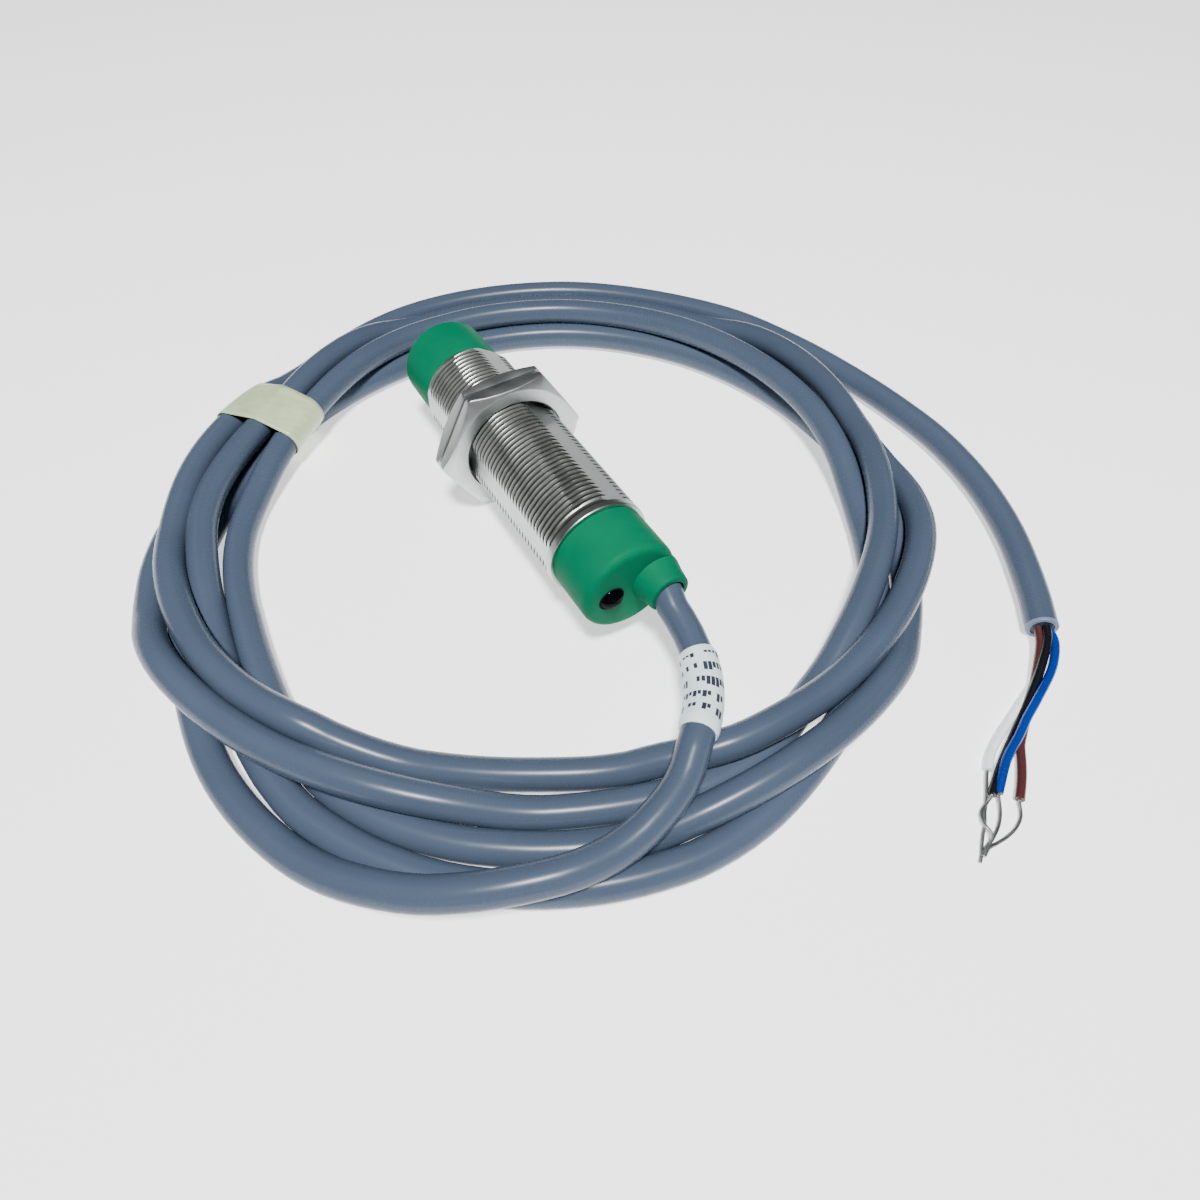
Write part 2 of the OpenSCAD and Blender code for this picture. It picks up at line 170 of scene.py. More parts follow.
class NodeTree:
    """A shader or geometry tree that is written from Python."""

    def __init__(self, tree: bpy.types.NodeTree) -> None:
        """Keeps the tree."""
        self.tree = tree

    def node(self, kind: str, settings: Optional[Dict[str, Any]] = None,
             inputs: Optional[Dict[Any, Any]] = None, output: Union[int, str] = 0) -> Sock:
        """Adds one node.

        Args:
            kind: The node's type.
            settings: Properties that are set before anything is linked.
            inputs: Values or sockets by input name or number.
            output: The name or number of the wanted output.

        Returns:
            The wanted output.
        """
        made = self.tree.nodes.new(kind)
        for name, value in (settings or {}).items():
            setattr(made, name, value)
        for name, value in (inputs or {}).items():
            target = made.inputs[name]
            if isinstance(value, Sock):
                self.tree.links.new(value.socket, target)
            else:
                target.default_value = value
        if not made.outputs:
            return Sock(self, made.inputs[0])
        return Sock(self, made.outputs[output])

    def split(self, vector: Sock) -> Tuple[Sock, Sock, Sock]:
        """Returns a vector's X, Y and Z."""
        parts = self.node("ShaderNodeSeparateXYZ", {}, {0: vector}).socket.node
        return tuple(Sock(self, output) for output in parts.outputs)

    def join(self, x: Any, y: Any, z: Any = 0.0) -> Sock:
        """Returns a vector made of X, Y and Z."""
        return self.node("ShaderNodeCombineXYZ", {}, {"X": x, "Y": y, "Z": z})

    def mix(self, factor: Union[Sock, Number], first: Any, second: Any) -> Sock:
        """Mixes two colours.

        Args:
            factor: How much of the second colour.
            first: The first colour, or a socket.
            second: The second colour, or a socket.

        Returns:
            The mixed colour.
        """
        made = self.tree.nodes.new("ShaderNodeMix")
        made.data_type = "RGBA"
        for number, value in ((0, factor), (6, first), (7, second)):
            if isinstance(value, Sock):
                self.tree.links.new(value.socket, made.inputs[number])
            else:
                made.inputs[number].default_value = value if number == 0 else (*value[:3], 1.0)
        return Sock(self, made.outputs[2])


class Shader(NodeTree):
    """A material tree with one Principled shader."""

    def __init__(self, name: str) -> None:
        """Makes an empty material.

        Args:
            name: The material's name.
        """
        self.material = bpy.data.materials.new(name)
        self.material.use_nodes = True
        super().__init__(self.material.node_tree)
        self.tree.nodes.clear()
        self.bsdf = self.tree.nodes.new("ShaderNodeBsdfPrincipled")
        out = self.tree.nodes.new("ShaderNodeOutputMaterial")
        self.tree.links.new(self.bsdf.outputs[0], out.inputs[0])

    def feed(self, **values: Any) -> None:
        """Sets or links the shader's inputs; a socket's spaces are written as underscores.

        Args:
            values: Input name to number, colour or socket.
        """
        for name, value in values.items():
            target = self.bsdf.inputs[name.replace("_", " ")]
            if isinstance(value, Sock):
                self.tree.links.new(value.socket, target)
            elif isinstance(value, tuple):
                target.default_value = (*value, 1.0)
            else:
                target.default_value = value

    def place(self) -> Sock:
        """Returns Object coordinates."""
        return self.node("ShaderNodeTexCoord", output="Object")

    def along(self) -> Tuple[Sock, Sock]:
        """Returns the map "along": how far round the piece, and how far along it in metres."""
        u, v, _ = self.split(self.node("ShaderNodeUVMap", {"uv_map": "along"}))
        return u, v

    def noise(self, size: float, detail: float = 3.0, rough: float = 0.55) -> Sock:
        """Returns a noise value with lumps of a size.

        Args:
            size: The lumps' size in metres.
            detail: Octaves.
            rough: How strong the fine octaves are.

        Returns:
            A value near 0.5.
        """
        return self.node("ShaderNodeTexNoise", {"noise_dimensions": "3D"},
                         {"Vector": self.place(), "Scale": 1 / size, "Detail": detail, "Roughness": rough})

    def bump(self, height: Sock, distance: float) -> Sock:
        """Returns a normal bent by a height.

        Args:
            height: The height value.
            distance: Metres for a height of 1.

        Returns:
            The normal.
        """
        return self.node("ShaderNodeBump", {}, {"Height": height, "Distance": distance, "Strength": 1.0})


class ShapeTree(NodeTree):
    """A geometry tree with named inputs, which ends in Realize Instances and Set Material."""

    def __init__(self, name: str, values: Dict[str, float]) -> None:
        """Makes a tree with inputs only.

        Args:
            name: The tree's name.
            values: Input name to its usual value.
        """
        group = bpy.data.node_groups.new(name, "GeometryNodeTree")
        super().__init__(group)
        group.interface.new_socket("Geometry", in_out="INPUT", socket_type="NodeSocketGeometry")
        for label, value in values.items():
            socket = group.interface.new_socket(label, in_out="INPUT", socket_type="NodeSocketFloat")
            socket.default_value = value
        group.interface.new_socket("Geometry", in_out="OUTPUT", socket_type="NodeSocketGeometry")
        entry = self.node("NodeGroupInput").socket.node
        self.inputs = {output.name: Sock(self, output) for output in entry.outputs if output.name}

    def close(self, skin: Sock, material: bpy.types.Material) -> bpy.types.NodeTree:
        """Ends the tree.

        Args:
            skin: The finished geometry.
            material: Its material.

        Returns:
            The tree.
        """
        skin = self.node("GeometryNodeRealizeInstances", {}, {0: skin})
        skin = self.node("GeometryNodeSetMaterial", {}, {"Geometry": skin, "Material": material})
        self.node("NodeGroupOutput", {}, {0: skin})
        return self.tree


# ---------------------------------------------------------------- finishes

@dataclass(frozen=True)
class Moulded:
    """A moulded plastic or rubber with soft tone changes and a fine skin."""

    name: str
    color: Color
    roughness: float = 0.42
    tone: float = 0.12
    grain: float = 0.00002
    shine: float = 0.4
    light_through: float = 0.0
    coat: float = 0.0

    def build(self) -> bpy.types.Material:
        """Returns the material."""
        s = Shader(self.name)
        cloud = s.noise(0.006)
        fine = s.noise(0.0004, 4.0)
        dark, light = shade(self.color, 1 - self.tone), shade(self.color, 1 + self.tone)
        s.feed(Base_Color=s.mix(cloud.ramp(0.35, 0.65), dark, light),
               Roughness=self.roughness + (fine - 0.5) * 0.14,
               Normal=s.bump(fine, self.grain), Specular_IOR_Level=self.shine,
               Transmission_Weight=self.light_through, Coat_Weight=self.coat, Coat_Roughness=0.06)
        return s.material


@dataclass(frozen=True)
class Plated:
    """Nickel-plated brass: soft satin metal with fine turning lines round an axis along Y."""

    name: str
    color: Color
    roughness: float = 0.3
    # colour of the painted shade in the thread's roots
    dark: Color = (0.02, 0.02, 0.014)
    root_r: float = 0.0
    crest_r: float = 0.0
    thread_from: float = 0.0
    thread_to: float = 0.0
    flat_r: float = 0.0
    flat_turns: Tuple[float, ...] = ()

    def build(self) -> bpy.types.Material:
        """Returns the material, with painted shade darkening the thread's roots where it has a thread."""
        s = Shader(self.name)
        x, y, z = s.split(s.place())
        cloud = s.noise(0.004, 4.0)
        lines = s.node("ShaderNodeTexNoise", {"noise_dimensions": "1D"},
                       {"W": y, "Scale": 9000.0, "Detail": 2.0})
        color = s.mix(cloud.ramp(0.3, 0.7), shade(self.color, 0.8), self.color)
        rough = self.roughness + (cloud - 0.5) * 0.2
        if self.crest_r:
            radial = (x * x + z * z).math("SQRT")
            # painted shade: the thread's roots are darkened towards the dark colour and made rougher and less
            # metallic; the flats are left out
            root_shade = 1 - radial.ramp(self.root_r + 0.1 * (self.crest_r - self.root_r), self.crest_r)
            inside = y.above(self.thread_to) * (1 - y.above(self.thread_from))
            for turn in self.flat_turns:
                reach = x * math.cos(math.radians(turn)) + z * math.sin(math.radians(turn))
                inside = inside * (1 - reach.ramp(self.flat_r - 0.03 * MM, self.flat_r - 0.01 * MM))
            root_shade = root_shade * inside
            color = s.mix((root_shade * 1.25).clamp(), color, self.dark)
            rough = rough + root_shade * 0.3
            s.feed(Metallic=1 - root_shade * 0.5)
        else:
            s.feed(Metallic=1.0)
        s.feed(Base_Color=color, Roughness=rough.most(0.08), Normal=s.bump(lines * 0.3 + cloud, 0.000002))
        return s.material


@dataclass(frozen=True)
class Jacket:
    """The cable's smooth jacket, slightly paler along drawn lines."""

    name: str
    color: Color
    roughness: float = 0.36

    def build(self) -> bpy.types.Material:
        """Returns the material; u goes round the cable and v along it."""
        s = Shader(self.name)
        u, v = s.along()
        drawn = s.node("ShaderNodeTexNoise", {"noise_dimensions": "2D"},
                       {"Vector": s.join(u * 9.0, v * 6.0), "Scale": 1.0, "Detail": 2.0})
        cloud = s.noise(0.02, 3.0)
        fine = s.noise(0.0006, 3.0)
        tone = (drawn * 0.5 + cloud * 0.5).ramp(0.35, 0.65)
        scuff = s.noise(0.004, 5.0, 0.7).ramp(0.74, 0.8) * 0.4
        plain = s.mix(tone, shade(self.color, 0.9), shade(self.color, 1.08))
        color = s.mix(scuff, plain, shade(self.color, 1.9))
        s.feed(Base_Color=color, Roughness=self.roughness + (fine - 0.5) * 0.04 + scuff * 0.2,
               Normal=s.bump(cloud * 4.0 + drawn * 0.1, 0.00001), Specular_IOR_Level=0.2)
        return s.material


@dataclass(frozen=True)
class MarkedFilm:
    """A pale film sleeve with rows of small plain blocks that say nothing."""

    name: str
    paper: Color
    ink: Color
    pitch: float = 0.0026
    cells: float = 26.0
    marks_from: float = 0.0012
    marks_to: float = 0.0132

    def build(self) -> bpy.types.Material:
        """Returns the material; u goes once round and v is in metres along."""
        s = Shader(self.name)
        u, v = s.along()
        line = v / self.pitch
        row = line.math("FLOOR")
        cell = u * self.cells + row * 3.7
        dice = s.node("ShaderNodeTexWhiteNoise", {"noise_dimensions": "2D"},
                      {"Vector": s.join(row, cell.math("FLOOR"))})
        height = line % 1.0
        low = height.above(0.24) * (1 - height.above(0.62))
        tall = height.above(0.24) * (1 - height.above(0.82)) * dice.above(0.62)
        in_cell = (0.62 + dice * 0.25 - (cell % 1.0)).above(0.0)
        clear = v.above(self.marks_from) * (1 - v.above(self.marks_to))
        ink = low.most(tall) * in_cell * dice.above(0.22) * clear
        cloud = s.noise(0.003)
        paper = s.mix(cloud.ramp(0.3, 0.7), shade(self.paper, 0.93), self.paper)
        s.feed(Base_Color=s.mix(ink, paper, self.ink), Roughness=0.4 + ink * 0.15 + (cloud - 0.5) * 0.1,
               Normal=s.bump(cloud, 0.00008))
        return s.material


@dataclass(frozen=True)
class Tape:
    """Pale tape with fine creases and a soft gloss."""

    name: str
    color: Color

    def build(self) -> bpy.types.Material:
        """Returns the material."""
        s = Shader(self.name)
        cloud = s.noise(0.003, 4.0)
        crease = s.node("ShaderNodeTexWave", {"wave_type": "BANDS", "bands_direction": "DIAGONAL"},
                        {"Vector": s.place(), "Scale": 260.0, "Distortion": 4.0, "Detail": 2.0}, "Fac")
        s.feed(Base_Color=s.mix(cloud.ramp(0.3, 0.7), shade(self.color, 0.82), self.color),
               Roughness=0.34 + (cloud - 0.5) * 0.2, Normal=s.bump(crease * 0.25 + cloud, 0.00012),
               Coat_Weight=0.3, Coat_Roughness=0.2)
        return s.material


GREEN = Moulded("green_moulding", srgb(0, 104, 72), 0.5, 0.05, 0.000003, shine=0.03)
NICKEL = Plated("nickel_plate", (0.56, 0.6, 0.595), 0.4)
JACKET = Jacket("cable_jacket", srgb(67, 79, 96), 0.27)
PALE_CUT = Moulded("jacket_cut", srgb(112, 126, 146), 0.5, 0.1)
LENS = Moulded("dark_lens", srgb(3, 3, 5), 0.5, 0.2, 0.000001, shine=0.0, coat=0.12)
RIM = Moulded("lens_rim", srgb(22, 34, 32), 0.6, 0.1, shine=0.03)
SEAL = Moulded("dark_rubber", srgb(34, 36, 38), 0.6, 0.1)
LABEL = MarkedFilm("marked_sleeve", srgb(226, 243, 246), srgb(36, 44, 58))
TAPE = Tape("pale_tape", srgb(192, 208, 166))
INSULATION: Dict[str, Moulded] = {
    "brown": Moulded("brown_insulation", srgb(72, 36, 36), 0.3, 0.1),
    "blue": Moulded("blue_insulation", srgb(4, 44, 128), 0.26, 0.08),
    "black": Moulded("black_insulation", srgb(14, 16, 20), 0.28, 0.1),
    "white": Moulded("white_insulation", srgb(238, 243, 246), 0.3, 0.03),
}
TINNED = Plated("tinned_strands", (0.5, 0.52, 0.5), 0.34)


# ---------------------------------------------------------------- mesh tools

@contextmanager
def opened(made: bpy.types.Object) -> Iterator[bmesh.types.BMesh]:
    """Opens a piece's mesh for editing and writes it back.

    Args:
        made: The piece.

    Yields:
        The mesh that can be edited.
    """
    work = bmesh.new()
    work.from_mesh(made.data)
    yield work
    work.to_mesh(made.data)
    work.free()


def walls(rings: int, sides: int, closed: bool = False) -> List[Face]:
    """Returns the faces between rings of points.

    Args:
        rings: How many rings there are.
        sides: Points on each ring.
        closed: True where the last ring joins the first.

    Returns:
        Four vertex numbers for each face.
    """
    faces = []
    for ring in range(rings if closed else rings - 1):
        after = (ring + 1) % rings
        for side in range(sides):
            beside = (side + 1) % sides
            faces.append((ring * sides + side, ring * sides + beside,
                          after * sides + beside, after * sides + side))
    return faces


def circle(count: int) -> List[Tuple[float, float]]:
    """Returns the cosine and sine at even steps round a circle."""
    return [(math.cos(w), math.sin(w)) for w in (2 * math.pi * k / count for k in range(count))]


class Piece:
    """Builds one mesh object in the frame's place."""

    @staticmethod
    def make(name: str, points: Any, faces: Sequence[Sequence[int]], finish: Any = None,
             along: Any = None) -> bpy.types.Object:
        """Makes a mesh object.

        Args:
            name: The piece's name.
            points: Vertex places.
            faces: Vertex numbers of each face.
            finish: A finish with a build method, or a material.
            along: Optional u, v of each vertex, for a UV map named "along".

        Returns:
            The object.
        """
        mesh = bpy.data.meshes.new(name)
        mesh.from_pydata([tuple(map(float, p)) for p in points], [], [tuple(map(int, f)) for f in faces])
        if along is not None:
            layer = mesh.uv_layers.new(name="along")
            spots = np.asarray(along, float)
            for polygon in mesh.polygons:
                us = spots[list(polygon.vertices)]
                wrap = us[:, 0].max() - us[:, 0].min() > 0.5
                for loop, (u, v) in zip(polygon.loop_indices, us):
                    layer.data[loop].uv = (u + 1.0 if wrap and u < 0.5 else u, v)
        mesh.polygons.foreach_set("use_smooth", [True] * len(mesh.polygons))
        mesh.update()
        made = Piece.link(name, mesh)
        if finish is not None:
            mesh.materials.append(finish if isinstance(finish, bpy.types.Material) else finish.build())
        return made

    @staticmethod
    def link(name: str, data: Any) -> bpy.types.Object:
        """Returns a new object in the scene that holds this data."""
        made = bpy.data.objects.new(name, data)
        bpy.context.collection.objects.link(made)
        return made

    @staticmethod
    def carry(made: bpy.types.Object, slot: str, *replaced: str, body: str = "housing") -> bpy.types.Object:
        """Says what a finished piece rides on and what it replaces.

        Args:
            made: The piece.
            slot: The material slot; not used.
            replaced: The nodes that it replaces.
            body: The body that it rides on.

        Returns:
            The same piece.
        """
        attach(made, body)
        if replaced:
            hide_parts(*replaced)
        return made

    @staticmethod
    def outward(made: bpy.types.Object) -> bpy.types.Object:
        """Merges doubled vertices and turns every face outwards.

        Args:
            made: The piece.

        Returns:
            The same piece.
        """
        with opened(made) as work:
            bmesh.ops.remove_doubles(work, verts=work.verts, dist=DOUBLED)
            bmesh.ops.recalc_face_normals(work, faces=work.faces)
        return made

    @staticmethod
    def sharpen(made: bpy.types.Object, degrees: float = 32.0) -> bpy.types.Object:
        """Marks edges sharper than an angle, so that smooth shading stops there.

        Args:
            made: The piece.
            degrees: The least angle between two faces at a sharp edge.

        Returns:
            The same piece.
        """
        with opened(made) as work:
            for edge in work.edges:
                if len(edge.link_faces) == 2 and edge.calc_face_angle(0.0) > math.radians(degrees):
                    edge.smooth = False
        return made

    @staticmethod
    def turned(name: str, profile: Ring, finish: Any, x: float = 0.0, steps: int = 128,
               closed: bool = False) -> bpy.types.Object:
        """Turns a profile round an axis along Y.

        Args:
            name: The piece's name.
            profile: Pairs of radius and distance behind the sensing face, in millimetres.
            finish: The piece's finish.
            x: The axis's place.
            steps: Steps round the axis.
            closed: True where the profile is a loop, for a piece with a hole.

        Returns:
            The object.
        """
        points = [(x + radius * MM * c, -behind * MM, radius * MM * s)
                  for radius, behind in profile for c, s in circle(steps)]
        made = Piece.make(name, points, walls(len(profile), steps, closed), finish)
        return Piece.sharpen(Piece.outward(made))

    @staticmethod
    def join(name: str, parts: Sequence[bpy.types.Object]) -> bpy.types.Object:
        """Joins pieces into one mesh, keeping their materials.

        Args:
            name: The joined piece's name.
            parts: The pieces.

        Returns:
            The joined piece.
        """
        with bpy.context.temp_override(active_object=parts[0], selected_editable_objects=list(parts),
                                       object=parts[0], selected_objects=list(parts)):
            bpy.ops.object.join()
        parts[0].name = name
        return parts[0]


def rounded(corner: Tuple[float, float], start: Tuple[float, float], end: Tuple[float, float],
            radius: float, steps: int = 6) -> Ring:
    """Rounds one corner of a profile.

    Args:
        corner: The corner.
        start: The profile point before it.
        end: The profile point after it.
        radius: How far the rounding reaches along both sides.
        steps: Segments of the arc.

    Returns:
        The points that replace the corner.
    """
    c, a, b = (np.array(p, float) for p in (corner, start, end))
    p = c + radius * (a - c) / np.linalg.norm(a - c)
    q = c + radius * (b - c) / np.linalg.norm(b - c)
    out = []
    for i in range(steps + 1):
        t = i / steps
        spot = (1 - t) ** 2 * p + 2 * t * (1 - t) * c + t * t * q
        out.append((float(spot[0]), float(spot[1])))
    return out


def profile_of(points: Ring, rounds: Dict[int, float]) -> Ring:
    """Rounds chosen corners of a profile.

    Args:
        points: The profile in millimetres.
        rounds: Corner number to rounding.

    Returns:
        The finer profile.
    """
    out: Ring = []
    for i, point in enumerate(points):
        if i in rounds and 0 < i < len(points) - 1:
            out += rounded(point, points[i - 1], points[i + 1], rounds[i])
        else:
            out.append(point)
    return out


def smooth_path(stations: Any, step: float) -> np.ndarray:
    """Runs a smooth curve through stations and samples it evenly.

    Args:
        stations: Places that the curve passes through.
        step: Distance between samples.

    Returns:
        The samples.
    """
    p = np.asarray(stations, float)
    ends = np.vstack([2 * p[0] - p[1], p, 2 * p[-1] - p[-2]])
    fine = []
    for i in range(1, len(ends) - 2):
        p0, p1, p2, p3 = ends[i - 1:i + 3]
        t0 = 0.0
        t1 = t0 + max(np.linalg.norm(p1 - p0), 1e-9) ** 0.5
        t2 = t1 + max(np.linalg.norm(p2 - p1), 1e-9) ** 0.5
        t3 = t2 + max(np.linalg.norm(p3 - p2), 1e-9) ** 0.5
        for t in np.linspace(t1, t2, 16, endpoint=False):
            a1 = (t1 - t) / (t1 - t0) * p0 + (t - t0) / (t1 - t0) * p1
            a2 = (t2 - t) / (t2 - t1) * p1 + (t - t1) / (t2 - t1) * p2
            a3 = (t3 - t) / (t3 - t2) * p2 + (t - t2) / (t3 - t2) * p3
            b1 = (t2 - t) / (t2 - t0) * a1 + (t - t0) / (t2 - t0) * a2
            b2 = (t3 - t) / (t3 - t1) * a2 + (t - t1) / (t3 - t1) * a3
            fine.append((t2 - t) / (t2 - t1) * b1 + (t - t1) / (t2 - t1) * b2)
    fine.append(p[-1])
    return even(np.array(fine), step)


def even(points: np.ndarray, step: float) -> np.ndarray:
    """Samples a polyline at even distances.

    Args:
        points: The polyline.
        step: The wanted distance.

    Returns:
        The samples, with both ends kept.
    """
    run = run_of(points)
    return at_distances(points, np.linspace(0, run[-1], max(2, int(round(run[-1] / step)) + 1)))


def run_of(points: np.ndarray) -> np.ndarray:
    """Returns the distance along a polyline at each point."""
    return np.concatenate([[0], np.cumsum(np.linalg.norm(np.diff(points, axis=0), axis=1))])


def at_distances(points: np.ndarray, distances: np.ndarray) -> np.ndarray:
    """Returns a polyline's places at distances along it."""
    run = run_of(points)
    return np.stack([np.interp(distances, run, points[:, k]) for k in range(3)], axis=1)


def length_of(points: np.ndarray) -> float:
    """Returns a polyline's length."""
    return float(np.linalg.norm(np.diff(points, axis=0), axis=1).sum())


def square_to(ahead: np.ndarray) -> Tuple[np.ndarray, np.ndarray]:
    """Returns two directions at right angles to one, the first of them level."""
    side = np.cross(ahead, (0, 0, 1.0))
    side /= np.linalg.norm(side)
    return side, np.cross(side, ahead)


def tube(name: str, path: np.ndarray, radius: Union[float, Sequence[float]], finish: Any,
         sides: int = 20, domed: float = 0.0) -> bpy.types.Object:
    """Sweeps a round section along a path and closes both ends.

    Args:
        name: The piece's name.
        path: The centreline.
        radius: The radius, or one for each point.
        finish: The piece's finish.
        sides: Sides of the section.
        domed: How much the ends bulge, in metres.

    Returns:
        The tube.
    """
    n = len(path)
    radii = np.full(n, radius) if np.isscalar(radius) else np.asarray(radius, float)
    tangents = np.gradient(path, axis=0)
    tangents /= np.linalg.norm(tangents, axis=1)[:, None]
    run = run_of(path)
    side, _ = square_to(tangents[0])
    points, along = [], []
    for i in range(n):
        side = side - tangents[i] * np.dot(side, tangents[i])
        side /= np.linalg.norm(side)
        up = np.cross(side, tangents[i])
        points += [path[i] + radii[i] * (c * side + s * up) for c, s in circle(sides)]
        along += [(k / sides, run[i]) for k in range(sides)]
    faces: List[Sequence[int]] = walls(n, sides)
    for row, sign in ((0, -1), (n - 1, 1)):
        points.append(path[row] + sign * tangents[row] * domed)
        along.append((0.5, run[row]))
        centre = len(points) - 1
        for k in range(sides):
            m = (k + 1) % sides
            a, b = row * sides + k, row * sides + m
            faces.append((a, b, centre) if sign > 0 else (b, a, centre))
    made = Piece.make(name, points, faces, finish, along=along)
    with opened(made) as work:
        bmesh.ops.recalc_face_normals(work, faces=work.faces)
    return Piece.sharpen(made, 50.0)


# ---------------------------------------------------------------- cable

@dataclass
class CableRoute:
    """Where the cable lies: out of the boss, over the coil, about four and two thirds turns, and the tail."""

    radius: float = 2.5 * MM
    centre: Tuple[float, float] = (1.0, -41.5)
    floor: float = -9.5
    lift: float = 4.8
    step: float = 2.6 * MM
    clearance: float = 1.004
    flat_strength: float = 150.0
    hump_strength: float = 6.0
    relax: float = 0.3
    pull: float = 0.05
    sink: float = 0.05 * MM
    passes: int = 320
    free_passes: int = 260
    look_again: int = 8
    pushes: int = 4
    push_share: float = 0.45
    push_up: float = 1.5
    lead: Sequence[Spot] = (
        (4.4, -60.35, 0), (4.4, -66, 0), (4.4, -72, 0), (4.65, -76, -0.3), (4.5, -79.4, -1),
        (3.7, -82.8, -1.8), (2.4, -86, -2.6), (0.4, -89, -3.4), (-2.6, -92.2, -4), (-6, -95, -4.4),
        (-10, -98, -4.6), (-18, -100.3, -4.6), (-25.7, -100.3, -4.8))
    turns: Sequence[Sequence[Spot]] = (
        ((240, 66, 0.9), (225, 69, 0.4), (210, 69.5, 0), (195, 68, 0), (180, 65, 0), (165, 63.5, 0),
         (150, 61.5, 0), (120, 58.5, 0), (90, 57.5, 0), (60, 57.5, 0), (30, 57, 0), (0, 57.5, 0),
         (330, 60.5, 0), (300, 62.5, 0)),
        ((270, 60.5, 1), (240, 60.5, 0), (210, 61, 0), (180, 55.2, 0), (150, 57, 0), (120, 56, 1),
         (90, 60.2, 1), (60, 60, 1), (30, 58, 1), (0, 56.5, 1), (330, 55.5, 0), (300, 58.5, 0)),
        ((270, 63, 0), (255, 65, 0), (240, 65.5, 0), (225, 65.5, 0), (210, 64, 0), (195, 61.5, 0),
         (180, 59.5, 0), (150, 62, 0), (120, 61, 1), (90, 68, 0), (60, 68.5, 0), (30, 67, 0), (0, 62.5, 1),
         (330, 58.5, 1), (300, 54.5, 0), (285, 54, 0)),
        ((270, 56.5, 0), (240, 55, 0), (210, 59, 1), (180, 66.5, 1), (165, 69.5, 0.7), (150, 68.5, 0),
         (120, 63.5, 0), (90, 63, 0), (60, 63, 0), (30, 62.5, 0), (0, 63, 0), (330, 64.5, 0), (300, 59.2, 1)),
        ((270, 54.8, 1), (255, 51, 0.3), (240, 49.5, 0), (225, 50.5, 0), (210, 53.3, 0.5), (195, 58, 1),
         (180, 61.5, 1), (165, 64, 1), (150, 65.5, 1), (127, 66.5, 1), (90, 73.5, 0), (60, 74, 0),
         (30, 73.4, 0), (15, 73, 0), (0, 74.2, 0)))
    tail: Sequence[Spot] = (
        (76.2, -51, -9.5), (76.5, -62, -9.5), (74.2, -74.5, -9.5), (69.5, -86, -9.5), (63.2, -95.6, -9.5),
        (56.8, -103.5, -9.5))

    def stations(self) -> np.ndarray:
        """Returns every station in metres."""
        spots = [tuple(p) for p in self.lead]
        for turn in self.turns:
            for degrees, r, level in turn:
                a = math.radians(degrees)
                spots.append((self.centre[0] + r * math.cos(a), self.centre[1] + r * math.sin(a),
                              self.floor + self.lift * level))
        spots += [tuple(p) for p in self.tail]
        return np.array(spots) * MM

    def stiffener(self, count: int, strength: float) -> np.ndarray:
        """Returns the matrix that evens out sharp bends, as the jacket's stiffness does.

        Args:
            count: Points on the path.
            strength: How strong it is; the bends it takes out are about its fourth root long.

        Returns:
            The matrix.
        """
        second = np.zeros((count - 2, count))
        rows = np.arange(count - 2)
        second[rows, rows] = 1
        second[rows, rows + 1] = -2
        second[rows, rows + 2] = 1
        return np.linalg.inv(np.eye(count) + strength * second.T @ second)

    def settle(self) -> np.ndarray:
        """Lays the cable down: turns rest on the table and on each other, a diameter apart.

        Returns:
            The centreline.
        """
        path = smooth_path(self.stations(), self.step)
        n = len(path)
        apart = 2 * self.radius * self.clearance
        flat, hump = self.stiffener(n, self.flat_strength), self.stiffener(n, self.hump_strength)
        aim = path.copy()
        index = np.arange(n)
        held = (index < 5) | (index > n - 3)
        first = second = index[:0]
        for turn in range(self.passes):
            if turn % self.look_again == 0:
                gap = path[:, None, :] - path[None, :, :]
                dist = np.sqrt((gap ** 2).sum(axis=2))
                first, second = np.nonzero(np.triu(dist < 2.2 * apart, 9))
            if turn <= self.free_passes:
                path[:, :2] += self.pull * (aim[:, :2] - path[:, :2])
                path[:, 2] -= self.sink
                change = path - aim
                change[:, :2] = flat @ change[:, :2]
                path[:, :2] = aim[:, :2] + change[:, :2]
                path[:, :2] += self.relax * (flat @ path[:, :2] - path[:, :2])
                path[:, 2] += self.relax * (hump @ path[:, 2] - path[:, 2])
            for _ in range(self.pushes):
                gap = path[first] - path[second]
                dist = np.sqrt((gap ** 2).sum(axis=1)) + 1e-12
                near = dist < apart
                push = (np.where(near, (apart - dist) / dist, 0.0))[:, None] * gap
                push[:, 2] *= self.push_up
                total = np.zeros_like(path)
                count = np.zeros(n)
                np.add.at(total, first, push)
                np.add.at(total, second, -push)
                np.add.at(count, first, near)
                np.add.at(count, second, near)
                path += self.push_share * total / np.maximum(count, 1)[:, None]
                path[:, 2] = np.maximum(path[:, 2], self.floor * MM)
                path[held] = aim[held]
        return path


